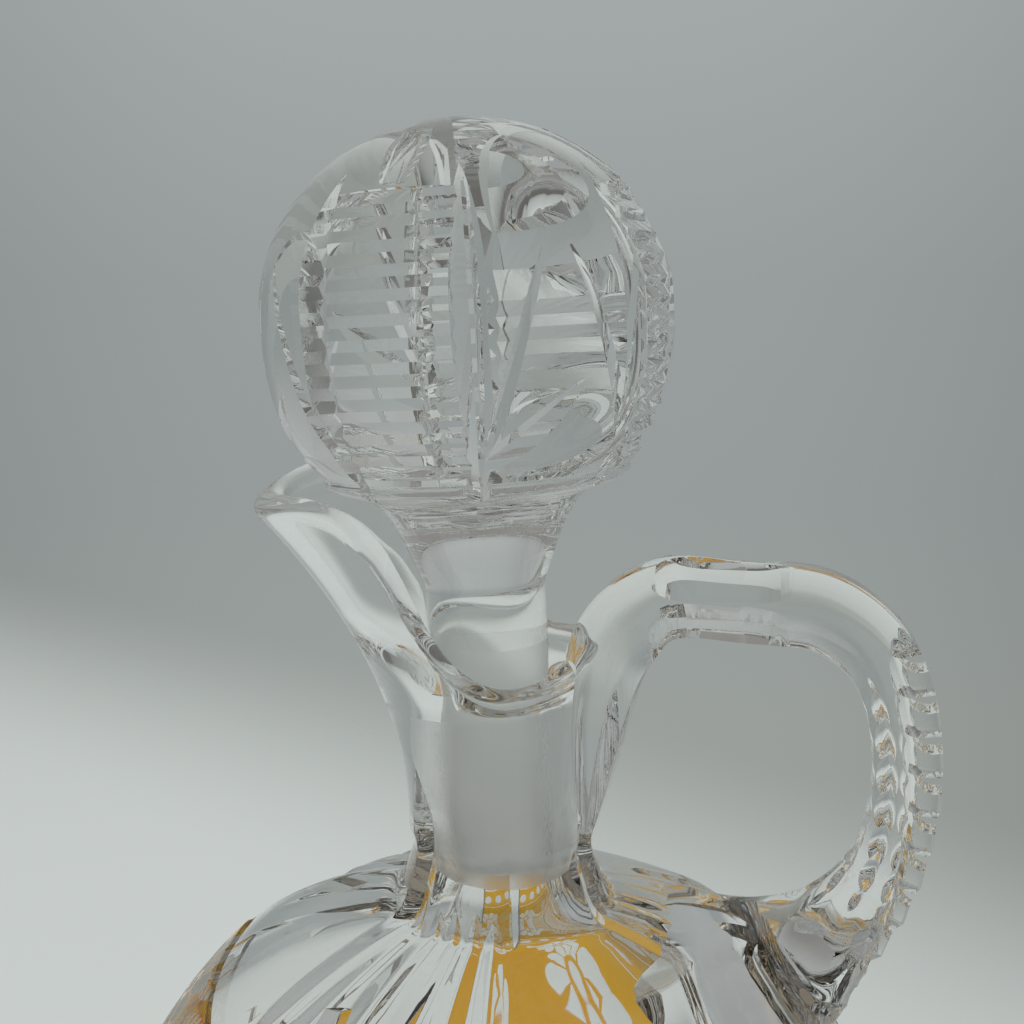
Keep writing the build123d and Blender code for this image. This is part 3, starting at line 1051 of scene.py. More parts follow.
    def notches(self) -> list[Part]:
        """Return the tools for the thumb cuts along both outer corners of the grip."""
        parts = []
        reach = self.grip_reach - self.notch_inset
        top = self.neck_base + self.bar_height - self.bar_thickness
        for side in (-1, 1):
            for number in range(self.notch_count):
                drop = number * self.notch_pitch - self.grip_middle
                inward = (self.notch_bend_down if drop > 0 else self.notch_bend_up) * drop**2
                out = reach - inward + self.notch_radius - self.notch_depth
                centre = Vector((out, side * self.grip_depth / 2, top - self.grip_middle - drop))
                place = Matrix.Translation(centre) @ Matrix.Rotation(math.radians(self.notch_turn * drop), 4, "Y")
                place = place @ Matrix.Rotation(side * math.pi / 4, 4, "X")
                parts.append(spindle(place, self.notch_radius, self.notch_width))
        return parts

    def flats(self) -> list[Part]:
        """Return the tools for the ground flats on the four long edges of the bar."""
        bar = self.bar_level()
        middle = (self.flat_start + self.flat_end) / 2
        half = (self.flat_end - self.flat_start) / 2
        narrow = min(self.bar_thickness, self.grip_depth)
        reach = ((self.bar_thickness + self.grip_depth) / 2 - self.bevel * narrow) / math.sqrt(2)
        parts = []
        for turn in self.flat_turns:
            place = Matrix.Translation((middle, 0, bar)) @ Matrix.Rotation(math.radians(turn), 4, "X")
            rings = []
            for share in np.linspace(-1, 1, 17):
                near = reach - self.flat_depth * (1 - share**4) + self.flat_overrun * share**4
                x, side, far = share * half, self.tool_side, near + self.tool_rise
                rings.append([(x, -side, near), (x, -side, far), (x, side, far), (x, side, near)])
            parts.append(capped(np.array(rings), place))
        return parts


def smooth_values(marks: np.ndarray, values: np.ndarray, shares: np.ndarray) -> np.ndarray:
    """Return smooth values between given ones, without a swing past them.

    Args:
        marks: Places of the given values, from 0 to 1.
        values: The given values.
        shares: Places to read.

    Returns:
        One value for each share.
    """
    steps = np.diff(marks)
    slopes = np.diff(values) / steps
    tangents = np.zeros_like(values, dtype=float)
    tangents[1:-1] = (slopes[:-1] * steps[1:] + slopes[1:] * steps[:-1]) / (steps[:-1] + steps[1:])
    flat = slopes[:-1] * slopes[1:] <= 0
    tangents[1:-1][flat] *= 0.35
    tangents[0], tangents[-1] = slopes[0], slopes[-1]
    index = np.clip(np.searchsorted(marks, shares, "right") - 1, 0, len(marks) - 2)
    length = steps[index]
    share = (shares - marks[index]) / length
    square, cube = share**2, share**3
    return (
        (2 * cube - 3 * square + 1) * values[index]
        + (cube - 2 * square + share) * length * tangents[index]
        + (3 * square - 2 * cube) * values[index + 1]
        + (cube - square) * length * tangents[index + 1]
    )


@dataclass
class Stopper:
    """Solid ball stopper with a ground plug and a cut head, in millimetres."""

    neck_base: float = 132.0
    lean: float = 3.5
    socket_height: float = 30.0
    plug_top: float = 10.0
    plug_taper: float = 0.055
    plug_rise: float = 11.0
    plug_length: float = 41.0
    end_round: float = 2.5
    shank_radius: float = 10.6
    shank_length: float = 10.5
    shank_blend: float = 1.4
    cone_foot: float = 1.0
    cone_top_radius: float = 20.5
    cone_height: float = 16.5
    collar_radius: float = 26.5
    collar_height: float = 4.0
    head_radius: float = 35.0
    lower_height: float = 26.5
    upper_height: float = 31.5
    lower_power: float = 2.7
    lower_reach: float = 34.0
    ladder_count: int = 4
    ladder_turn: float = -5.5
    ladder_width: float = 20.0
    ladder_pitch: float = 3.6
    ladder_grooves: int = 12
    groove_depth: float = 1.0
    flat_depth: float = 1.8
    ladder_bottom: float = 1.5
    mitre_length: float = 44.0
    mitre_depth: float = 3.0
    mitre_angle: float = 42.0
    mitre_foot: float = 0.5
    mitre_gap: float = 5.0
    leaf_tilt: float = 19.0
    leaf_length: float = 26.0
    leaf_depth: float = 1.6
    leaf_angle: float = 38.0
    leaf_overrun: float = 0.9
    wide_tilt: float = 50.0
    wide_length: float = 20.0
    wide_angle: float = 57.0
    wide_overrun: float = 0.72
    notch_radius: float = 3.6
    notch_depth: float = 2.2
    notch_height: float = 51.0
    notch_width: float = 15.0
    columns: int = 240

    def surface(self, height: float) -> float:
        """Return the radius of the uncut head at a height over its collar."""
        if height > self.lower_height:
            share = (height - self.lower_height) / self.upper_height
            return self.head_radius * math.sqrt(max(0.0, 1 - share * share))
        share = (self.lower_height - height) / self.lower_reach
        return self.head_radius * (1 - share**self.lower_power) ** (1 / self.lower_power)

    def collar_level(self) -> float:
        """Return the height of the head's lower edge along the axis."""
        return self.socket_height + self.plug_rise + self.shank_length + self.cone_height + self.collar_height

    def place(self) -> Matrix:
        """Return the place of the leaning socket that the stopper stands in."""
        return Matrix.Translation((0, 0, self.neck_base)) @ Matrix.Rotation(-math.radians(self.lean), 4, "Y")

    def profile(self) -> list[tuple[float, float, int]]:
        """Return radius, height and skin of every ring from the plug's end to the crown."""
        plug_top = self.socket_height + self.plug_rise
        bottom = plug_top - self.plug_length
        ground, clear = Skin.GROUND.value, Skin.POLISHED.value
        low = self.plug_top - self.plug_taper * (self.socket_height - bottom)
        rows = [(low * 0.35, bottom, ground), (low * 0.62, bottom, ground)]
        for share in np.linspace(0, 1, 7):
            turn = math.pi / 2 * share
            rows.append(
                (low - self.end_round * (1 - math.sin(turn)), bottom + self.end_round * (1 - math.cos(turn)), ground)
            )
        for height in np.linspace(bottom + self.end_round, plug_top, 22)[1:]:
            rows.append((self.plug_top - self.plug_taper * (self.socket_height - height), height, ground))
        rows[-1] = (rows[-1][0], rows[-1][1], clear)
        foot = plug_top + self.shank_length
        for share in np.linspace(0, 1, 5)[1:]:
            step = 0.5 - 0.5 * math.cos(math.pi * share)
            radius = self.plug_end_radius() + (self.shank_radius - self.plug_end_radius()) * step
            rows.append((radius, plug_top + self.shank_blend * share, clear))
        for height in np.linspace(plug_top + self.shank_blend, foot - self.cone_foot, 8)[1:]:
            rows.append((self.shank_radius, height, clear))
        cone = SmoothCurve(
            [
                (self.shank_radius, foot - self.cone_foot),
                (self.shank_radius + 0.6, foot + 1.2),
                (self.shank_radius + (self.cone_top_radius - self.shank_radius) * 0.35, foot + self.cone_height * 0.5),
                (self.cone_top_radius, foot + self.cone_height),
            ],
            (0, 1),
            (1.0, 0.55),
        )
        rows += [(radius, height, clear) for radius, height in cone.even(22)[1:]]
        top = foot + self.cone_height
        collar = SmoothCurve(
            [
                (self.cone_top_radius, top),
                (self.collar_radius - 1.2, top + 1.4),
                (self.collar_radius, top + self.collar_height * 0.6),
                (self.surface(0), top + self.collar_height),
            ],
            (1.0, 0.22),
            (0.8, 1.0),
        )
        rows += [(radius, height, clear) for radius, height in collar.even(16)[1:]]
        level = self.collar_level()
        for share in np.linspace(0, 1, 40)[1:]:
            height = self.lower_height * (1 - (1 - share) ** 1.15)
            rows.append((self.surface(height), level + height, clear))
        widest = level + self.lower_height
        for turn in math.pi / 2 * np.linspace(0, 1, 46)[1:-1]:
            rows.append((self.head_radius * math.cos(turn), widest + self.upper_height * math.sin(turn), clear))
        return rows

    def plug_end_radius(self) -> float:
        """Return the plug's radius at its upper end."""
        return self.plug_top + self.plug_taper * self.plug_rise

    def seat(self, turn: float, height: float) -> Matrix:
        """Return the place on the head's surface: X out of the glass, Z up along it."""
        slope = (self.surface(height + 1.0) - self.surface(height - 1.0)) / 2.0
        return (
            Matrix.Translation((0, 0, self.collar_level()))
            @ Matrix.Rotation(math.radians(turn), 4, "Z")
            @ Matrix.Translation((self.surface(height), 0, height))
            @ Matrix.Rotation(math.atan(slope), 4, "Y")
        )

    def ladder(self, number: int) -> Part:
        """Return the tool for one ladder of level V grooves under a flat."""
        outside = self.head_radius + 6
        outline = [(outside, self.ladder_bottom)]
        for groove in range(self.ladder_grooves + 1):
            height = self.ladder_bottom + groove * self.ladder_pitch
            outline.append((self.surface(height) - self.flat_depth, height))
            if groove < self.ladder_grooves:
                middle = height + self.ladder_pitch / 2
                outline.append((self.surface(middle) - self.flat_depth - self.groove_depth, middle))
        outline.append((outside, self.ladder_bottom + self.ladder_grooves * self.ladder_pitch))
        outline = np.array(outline)
        count = len(outline)
        half = self.ladder_width / 2
        turn = math.radians(self.ladder_turn - 90 + 360 * number / self.ladder_count)
        place = Matrix.Translation((0, 0, self.collar_level())) @ Matrix.Rotation(turn, 4, "Z")
        near = np.stack([outline[:, 0], np.full(count, -half), outline[:, 1]], axis=1)
        far = np.stack([outline[:, 0], np.full(count, half), outline[:, 1]], axis=1)
        faces = [tuple(range(count))[::-1], tuple(range(count, 2 * count))]
        for first in range(count):
            after = (first + 1) % count
            faces.append((first, after, after + count, first + count))
        return Part(placed(np.concatenate([near, far]), place), faces)

    def leaf(
        self, turn: float, height: float, tilt: float, length: float, depth: float, angle: float, overrun: float
    ) -> Part:
        """Return the tool for a leaf cut on the head, leaning from upright by tilt degrees."""
        place = self.seat(turn, height) @ Matrix.Rotation(math.radians(tilt), 4, "X")
        return wheel_leaf(place, self.head_radius, length, depth, angle, overrun)

    def fan_leaf(self, turn: float, hand: int, tilt: float, length: float, angle: float, overrun: float) -> Part:
        """Return the tool for a leaf that springs from the foot of a mitre and leans away from it."""
        sideways = math.degrees(length / 2 * math.sin(math.radians(tilt)) / self.head_radius)
        height = self.mitre_foot + length / 2 * math.cos(math.radians(tilt))
        return self.leaf(turn + hand * sideways, height, -hand * tilt, length, self.leaf_depth, angle, overrun)

    def tools(self) -> list[bpy.types.Object]:
        """Return the cutting tools in groups whose members don't touch each other."""
        groups: dict[str, list[Part]] = {name: [] for name in ("ladders", "mitres", "left", "right", "wide", "notches")}
        half = math.degrees(self.ladder_width / 2 / self.head_radius) + self.mitre_gap
        middle = self.mitre_foot + self.mitre_length / 2
        for number in range(self.ladder_count):
            side = self.ladder_turn - 90 + 360 * number / self.ladder_count
            groups["ladders"].append(self.ladder(number))
            inset = Matrix.Translation((self.notch_radius - self.notch_depth, 0, 0))
            place = self.seat(side, self.notch_height) @ inset
            groups["notches"].append(spindle(place, self.notch_radius, self.notch_width, 48))
            for hand, name in ((-1, "left"), (1, "right")):
                edge = side + hand * half
                groups["mitres"].append(
                    self.leaf(edge, middle, 0, self.mitre_length, self.mitre_depth, self.mitre_angle, self.leaf_overrun)
                )
                fan = self.fan_leaf(edge, hand, self.leaf_tilt, self.leaf_length, self.leaf_angle, self.leaf_overrun)
                groups[name].append(fan)
            wide = self.fan_leaf(side + half, 1, self.wide_tilt, self.wide_length, self.wide_angle, self.wide_overrun)
            groups["wide"].append(wide)
        return [merged(f"stopper_{name}", parts) for name, parts in groups.items()]

    def build(self) -> bpy.types.Object:
        """Make the stopper and cut its head."""
        profile = self.profile()
        turn = 2 * math.pi * np.arange(self.columns) / self.columns
        rings = np.array(
            [
                np.stack([radius * np.cos(turn), radius * np.sin(turn), np.full(self.columns, height)], axis=1)
                for radius, height, _ in profile
            ]
        )
        bands = [row[2] for row in profile[:-1]] + [Skin.GROUND.value, Skin.POLISHED.value]
        bottom = profile[0][1]
        crown = self.collar_level() + self.lower_height + self.upper_height
        piece = closed_grid("stopper_glass", rings, (0, 0, bottom), (0, 0, crown), bands)
        for tool in self.tools():
            cut_with(piece, tool)
            discard(tool)
        piece.data.transform(scaled_place(self.place()))
        return piece


def scaled_place(place: Matrix) -> Matrix:
    """Return a matrix in millimetres as one in metres."""
    moved = place.copy()
    moved.translation = place.translation * MILLIMETRE
    return moved


class Nodes:
    """Short way to place and link shader nodes in one tree."""

    def __init__(self, tree: bpy.types.NodeTree) -> None:
        """Keep the tree."""
        self.tree = tree

    def add(self, kind: str, inputs: dict | None = None, **settings: object) -> bpy.types.Node:
        """Place a node.

        Args:
            kind: Type name of the node, without its ShaderNode prefix.
            inputs: Values or sockets for its inputs, by name or number.
            settings: Properties of the node.

        Returns:
            The node.
        """
        node = self.tree.nodes.new(f"ShaderNode{kind}")
        for key, value in settings.items():
            setattr(node, key, value)
        for key, value in (inputs or {}).items():
            socket = node.inputs[key]
            if isinstance(value, bpy.types.NodeSocket):
                self.tree.links.new(value, socket)
            else:
                socket.default_value = value
        return node

    def math(self, operation: str, *values: object, clamp: bool = False) -> bpy.types.NodeSocket:
        """Place a math node and return its value."""
        node = self.add("Math", dict(enumerate(values)), operation=operation, use_clamp=clamp)
        return node.outputs[0]

    def mix(self, share: object, first: object, second: object) -> bpy.types.NodeSocket:
        """Mix two colours and return the result."""
        node = self.add("Mix", {0: share, 6: first, 7: second}, data_type="RGBA")
        return node.outputs[2]

    def ramp(self, value: bpy.types.NodeSocket, low: float, high: float) -> bpy.types.NodeSocket:
        """Return 0 below low and 1 above high, with a soft rise between."""
        values = {"Value": value, "From Min": low, "From Max": high}
        return self.add("MapRange", values, interpolation_type="SMOOTHSTEP").outputs["Result"]


def new_group(
    name: str, inputs: Sequence[tuple[str, str, object]], outputs: Sequence[tuple[str, str]]
) -> bpy.types.NodeTree:
    """Make an empty shader node group with named sockets.

    Args:
        name: Name of the group.
        inputs: Name, kind and default value of each input.
        outputs: Name and kind of each output.

    Returns:
        The group, with its input and output nodes placed.
    """
    tree = bpy.data.node_groups.new(name, "ShaderNodeTree")
    for label, kind, value in inputs:
        socket = tree.interface.new_socket(label, in_out="INPUT", socket_type=f"NodeSocket{kind}")
        socket.default_value = value
    for label, kind in outputs:
        tree.interface.new_socket(label, in_out="OUTPUT", socket_type=f"NodeSocket{kind}")
    tree.nodes.new("NodeGroupInput")
    tree.nodes.new("NodeGroupOutput")
    return tree


class Effects:
    """Shared shader groups of the decanter's finishes."""

    def __init__(self) -> None:
        """Build the groups once."""
        self.ripple = self.build_ripple()
        self.grain = self.build_grain()

    def build_ripple(self) -> bpy.types.NodeTree:
        """Build the soft waviness of hand-polished glass, with faint handling marks."""
        tree = new_group(
            "polish_ripple",
            [("Scale", "Float", 90.0), ("Strength", "Float", 0.05), ("Marks", "Float", 0.02)],
            [("Height", "Float"), ("Roughness", "Float")],
        )
        nodes = Nodes(tree)
        source, target = tree.nodes["Group Input"], tree.nodes["Group Output"]
        place = nodes.add("TexCoord").outputs["Object"]
        wave = nodes.add("TexNoise", {"Vector": place, "Scale": source.outputs["Scale"], "Detail": 2.0})
        tree.links.new(nodes.math("MULTIPLY", wave.outputs["Fac"], source.outputs["Strength"]), target.inputs["Height"])
        marks = nodes.add("TexNoise", {"Vector": place, "Scale": 380.0, "Detail": 4.0, "Roughness": 0.7})
        patchy = nodes.ramp(marks.outputs["Fac"], 0.56, 0.74)
        tree.links.new(nodes.math("MULTIPLY", patchy, source.outputs["Marks"]), target.inputs["Roughness"])
        return tree

    def build_grain(self) -> bpy.types.NodeTree:
        """Build the fine sandy grain of ground glass."""
        tree = new_group(
            "ground_grain",
            [("Scale", "Float", 2600.0), ("Low", "Float", 0.3), ("High", "Float", 0.5)],
            [("Height", "Float"), ("Roughness", "Float")],
        )
        nodes = Nodes(tree)
        source, target = tree.nodes["Group Input"], tree.nodes["Group Output"]
        place = nodes.add("TexCoord").outputs["Object"]
        fine = source.outputs["Scale"]
        sand = nodes.add("TexNoise", {"Vector": place, "Scale": fine, "Detail": 3.0, "Roughness": 0.7})
        turns = nodes.add("TexNoise", {"Vector": place, "Scale": 140.0, "Detail": 2.0})
        tree.links.new(sand.outputs["Fac"], target.inputs["Height"])
        spread = nodes.math("SUBTRACT", source.outputs["High"], source.outputs["Low"])
        rough = nodes.math("MULTIPLY_ADD", turns.outputs["Fac"], spread, source.outputs["Low"])
        tree.links.new(rough, target.inputs["Roughness"])
        return tree


@dataclass(frozen=True)
class GlassFinish:
    """Values of one glass finish."""

    name: str
    colour: tuple[float, float, float, float] = (0.985, 0.99, 0.985, 1.0)
    refraction: float = 1.52
    ripple_scale: float = 90.0
    ripple: float = 0.05
    bump: float = 0.1
    marks: float = 0.03
    ground: bool = False

    def build(self, effects: Effects) -> bpy.types.Material:
        """Make the material.

        Args:
            effects: Shared shader groups.

        Returns:
            The new material.
        """
        material = bpy.data.materials.new(self.name)
        material.use_nodes = True
        tree = material.node_tree
        nodes = Nodes(tree)
        surface = tree.nodes["Principled BSDF"]
        surface.inputs["Base Color"].default_value = self.colour
        surface.inputs["IOR"].default_value = self.refraction
        surface.inputs["Transmission Weight"].default_value = 1.0
        group = nodes.add("Group")
        group.node_tree = effects.grain if self.ground else effects.ripple
        if not self.ground:
            group.inputs["Scale"].default_value = self.ripple_scale
            group.inputs["Strength"].default_value = self.ripple
            group.inputs["Marks"].default_value = self.marks
        bump = nodes.add("Bump", {"Height": group.outputs["Height"], "Strength": self.bump, "Distance": 0.001})
        tree.links.new(bump.outputs["Normal"], surface.inputs["Normal"])
        tree.links.new(group.outputs["Roughness"], surface.inputs["Roughness"])
        clear_shadows(tree, surface, self.colour)
        return material


def clear_shadows(tree: bpy.types.NodeTree, surface: bpy.types.Node, colour: tuple[float, ...]) -> None:
    """Let light through the glass in shadows, so that it stays bright inside and on the floor.

    Args:
        tree: The material's nodes.
        surface: Its glass shader.
        colour: Tint of the light that goes through.
    """
    nodes = Nodes(tree)
    output = tree.nodes["Material Output"]
    path = nodes.add("LightPath")
    tint = tuple(SHADOW_SHARE * value**0.5 for value in colour[:3]) + (1.0,)
    through = nodes.add("BsdfTransparent", {"Color": tint})
    mixed = nodes.add("MixShader", {0: path.outputs["Is Shadow Ray"], 1: surface.outputs[0], 2: through.outputs[0]})
    tree.links.new(mixed.outputs[0], output.inputs["Surface"])


def seam_material() -> bpy.types.Material:
    """Return the finish of faces where two pieces of glass are fused, which don't show."""
    material = bpy.data.materials.new("fused_seam")
    material.use_nodes = True
    surface = material.node_tree.nodes["Principled BSDF"]
    surface.inputs["Alpha"].default_value = 0.0
    surface.inputs["Transmission Weight"].default_value = 1.0
    return material


class Engraving:
    """Generic engraved ornament for the amber panels: dotted bands, daisies, leaves and feathered arcs."""

    def __init__(self) -> None:
        """Build the shader group, whose plane is measured in millimetres up a panel and from its middle."""
        outputs = [("Cut", "Float"), ("Edge", "Float"), ("Bare", "Float")]
        self.tree = new_group("engraving", [("Top", "Float", 97.0)], outputs)
        self.nodes = Nodes(self.tree)
        place = self.nodes.add("SeparateXYZ", {0: self.nodes.add("UVMap", uv_map="panel").outputs[0]})
        self.across = self.nodes.math("MULTIPLY", place.outputs[0], PANEL_UNIT)
        self.up = self.nodes.math("MULTIPLY", place.outputs[1], PANEL_UNIT)
        wobble = self.nodes.add("TexNoise", {"Scale": 26.0, "Detail": 3.0})
        self.wobble = self.nodes.math("SUBTRACT", wobble.outputs["Fac"], 0.5)
        self.join_up()

    def below(self, value: object, limit: float, soft: float = 0.25) -> bpy.types.NodeSocket:
        """Return 1 where a value lies under a limit, with a soft edge."""
        return self.nodes.math("SUBTRACT", 1.0, self.nodes.ramp(value, limit - soft, limit + soft))

    def both(self, *masks: bpy.types.NodeSocket) -> bpy.types.NodeSocket:
        """Return where all masks hold."""
        result = masks[0]
        for mask in masks[1:]:
            result = self.nodes.math("MULTIPLY", result, mask)
        return result

    def any(self, *masks: bpy.types.NodeSocket) -> bpy.types.NodeSocket:
        """Return where at least one mask holds."""
        result = masks[0]
        for mask in masks[1:]:
            result = self.nodes.math("MAXIMUM", result, mask)
        return result

    def local(self, across: float, up: float, lean: float = 0.0) -> tuple[bpy.types.NodeSocket, bpy.types.NodeSocket]:
        """Return coordinates round a point, turned by lean degrees."""
        x = self.nodes.math("SUBTRACT", self.across, across)
        y = self.nodes.math("SUBTRACT", self.up, up)
        cosine, sine = math.cos(math.radians(lean)), math.sin(math.radians(lean))
        along = self.nodes.math("MULTIPLY_ADD", x, cosine, self.nodes.math("MULTIPLY", y, sine))
        over = self.nodes.math("MULTIPLY_ADD", y, cosine, self.nodes.math("MULTIPLY", x, -sine))
        return along, over

    def polar(self, across: float, up: float) -> tuple[bpy.types.NodeSocket, bpy.types.NodeSocket]:
        """Return distance and direction from a point."""
        x, y = self.local(across, up)
        square = self.nodes.math("MULTIPLY_ADD", x, x, self.nodes.math("MULTIPLY", y, y))
        return self.nodes.math("SQRT", square), self.nodes.math("ARCTAN2", y, x)

    def daisy(self, across: float, up: float, radius: float, petals: int) -> bpy.types.NodeSocket:
        """Return a flower of round-tipped petals."""
        distance, turn = self.polar(across, up)
        wave = self.nodes.math("ABSOLUTE", self.nodes.math("COSINE", self.nodes.math("MULTIPLY", turn, petals / 2)))
        reach = self.nodes.math("MULTIPLY_ADD", self.nodes.math("POWER", wave, 0.45), radius * 0.55, radius * 0.45)
        inside = self.below(self.nodes.math("SUBTRACT", distance, reach), 0.0)
        rise = self.nodes.ramp(wave, 0.16, 0.3)
        petal = self.both(inside, rise, self.nodes.ramp(distance, radius * 0.24, radius * 0.3))
        return self.any(petal, self.below(distance, radius * 0.15))

    def leaf(self, across: float, up: float, lean: float, length: float, width: float) -> bpy.types.NodeSocket:
        """Return a pointed leaf with slanting veins."""
        along, over = self.local(across, up, lean)
        side = self.nodes.math("ABSOLUTE", over)
        share = self.nodes.math("DIVIDE", along, length / 2)
        room = self.nodes.math("MULTIPLY_ADD", self.nodes.math("MULTIPLY", share, share), -width / 2, width / 2)
        inside = self.below(self.nodes.math("SUBTRACT", side, room), 0.0)
        slant = self.nodes.math("MULTIPLY_ADD", side, -1.1, along)
        veins = self.below(self.nodes.math("FRACT", self.nodes.math("DIVIDE", slant, 2.4)), 0.62, 0.1)
        return self.both(inside, veins, self.nodes.ramp(side, 0.25, 0.5))

    def feathers(self, across: float, up: float, radius: float, strokes: int, lower: bool) -> bpy.types.NodeSocket:
        """Return an arc fringed with short strokes on its outer side."""
        distance, turn = self.polar(across, up)
        height = self.nodes.math("SINE", turn)
        if lower:
            height = self.nodes.math("MULTIPLY", height, -1.0)
        half = self.nodes.ramp(height, 0.05, 0.2)
        line = self.below(self.nodes.math("ABSOLUTE", self.nodes.math("SUBTRACT", distance, radius)), 0.7)
        gaps = self.nodes.math("FRACT", self.nodes.math("MULTIPLY", turn, strokes / (2 * math.pi)))
        reach = self.nodes.math("MULTIPLY_ADD", height, radius * 0.5, radius * 1.05)
        fringe = self.both(
            self.below(gaps, 0.55, 0.12),
            self.nodes.ramp(distance, radius * 1.08, radius * 1.12),
            self.below(self.nodes.math("SUBTRACT", distance, reach), 0.0),
        )
        return self.both(half, self.any(line, fringe))

    def band(self, up: float, width: float, pitch: float, dot: float) -> bpy.types.NodeSocket:
        """Return a row of dots between two thin lines."""
        level = self.nodes.math("MULTIPLY_ADD", self.wobble, 0.9, self.nodes.math("SUBTRACT", self.up, up))
        away = self.nodes.math("ABSOLUTE", self.nodes.math("SUBTRACT", self.nodes.math("ABSOLUTE", level), width / 2))
        lines = self.below(away, 0.32, 0.15)
        spot = self.nodes.math("SUBTRACT", self.nodes.math("FRACT", self.nodes.math("DIVIDE", self.across, pitch)), 0.5)
        spot = self.nodes.math("MULTIPLY", spot, pitch)
        square = self.nodes.math("MULTIPLY_ADD", spot, spot, self.nodes.math("MULTIPLY", level, level))
        return self.any(lines, self.below(self.nodes.math("SQRT", square), dot))

    def join_up(self) -> None:
        """Lay the motifs out and link the group's outputs."""
        cut = self.any(
            self.band(58.0, 11.0, 9.0, 2.7),
            self.band(11.0, 7.0, 6.0, 1.6),
            self.daisy(-13.0, 78.5, 11.5, 9),
            self.feathers(12.0, 71.0, 10.5, 44, False),
            self.leaf(11.0, 75.5, 62.0, 12.0, 5.0),
            self.leaf(-1.0, 88.0, 24.0, 17.0, 6.0),
            self.daisy(12.0, 34.0, 12.5, 10),
            self.leaf(-15.0, 36.0, 74.0, 27.0, 9.0),
            self.leaf(-22.0, 27.0, 128.0, 15.0, 5.5),
            self.leaf(-7.5, 27.0, 40.0, 15.0, 5.5),
            self.feathers(24.0, 47.0, 6.5, 36, True),
            self.feathers(-24.0, 47.0, 5.5, 32, True),
            self.daisy(27.0, 75.0, 6.0, 8),
        )
        source, target = self.tree.nodes["Group Input"], self.tree.nodes["Group Output"]
        wavy = self.nodes.math("MULTIPLY_ADD", self.wobble, 7.0, self.up)
        rim = self.nodes.math("SUBTRACT", wavy, source.outputs["Top"])
        bare = self.nodes.ramp(rim, -0.5, -0.1)
        edge = self.both(self.nodes.ramp(rim, -1.7, -1.3), self.nodes.math("SUBTRACT", 1.0, bare))
        kept = self.nodes.math("SUBTRACT", 1.0, bare)
        self.tree.links.new(self.both(cut, kept), target.inputs["Cut"])
        self.tree.links.new(edge, target.inputs["Edge"])
        self.tree.links.new(bare, target.inputs["Bare"])


@dataclass(frozen=True)
class AmberFinish:
    """Stained amber glass with frosted engraving."""

    name: str = "amber_engraved"
    colour: tuple[float, float, float, float] = (0.8, 0.225, 0.0, 1.0)
    edge: tuple[float, float, float, float] = (0.03, 0.012, 0.004, 1.0)
    frosted: tuple[float, float, float, float] = (0.96, 0.96, 0.94, 1.0)
    clear: tuple[float, float, float, float] = (0.985, 0.99, 0.985, 1.0)
    refraction: float = 1.52
    top: float = 94.0
    stain_scale: float = 45.0
    stain: tuple[float, float, float] = (0.9, 0.74, 0.6)
    frost: float = 0.42
    relief: float = -0.5
    bump: float = 0.25

    def build(self, engraving: Engraving, effects: Effects) -> bpy.types.Material:
        """Make the material.

        Args:
            engraving: The ornament.
            effects: Shared shader groups.

        Returns:
            The new material.
        """
        material = bpy.data.materials.new(self.name)
        material.use_nodes = True
        tree = material.node_tree
        nodes = Nodes(tree)
        surface = tree.nodes["Principled BSDF"]
        surface.inputs["IOR"].default_value = self.refraction
        surface.inputs["Transmission Weight"].default_value = 1.0
        pattern = nodes.add("Group")
        pattern.node_tree = engraving.tree
        pattern.inputs["Top"].default_value = self.top
        place = nodes.add("TexCoord").outputs["Object"]
        stain = nodes.add("TexNoise", {"Vector": place, "Scale": self.stain_scale, "Detail": 3.0})
        deep = tuple(value * share for value, share in zip(self.colour, self.stain)) + (1.0,)
        colour = nodes.mix(nodes.ramp(stain.outputs["Fac"], 0.35, 0.7), self.colour, deep)
        colour = nodes.mix(pattern.outputs["Edge"], colour, self.edge)
        colour = nodes.mix(pattern.outputs["Cut"], colour, self.frosted)
        colour = nodes.mix(pattern.outputs["Bare"], colour, self.clear)
        tree.links.new(colour, surface.inputs["Base Color"])
        ripple = nodes.add("Group")
        ripple.node_tree = effects.ripple
        rough = nodes.math("MULTIPLY_ADD", pattern.outputs["Cut"], self.frost, ripple.outputs["Roughness"])
        tree.links.new(rough, surface.inputs["Roughness"])
        height = nodes.math("MULTIPLY_ADD", pattern.outputs["Cut"], self.relief, ripple.outputs["Height"])
        bump = nodes.add("Bump", {"Height": height, "Strength": self.bump, "Distance": 0.0005})
        tree.links.new(bump.outputs["Normal"], surface.inputs["Normal"])
        clear_shadows(tree, surface, self.colour)
        return material


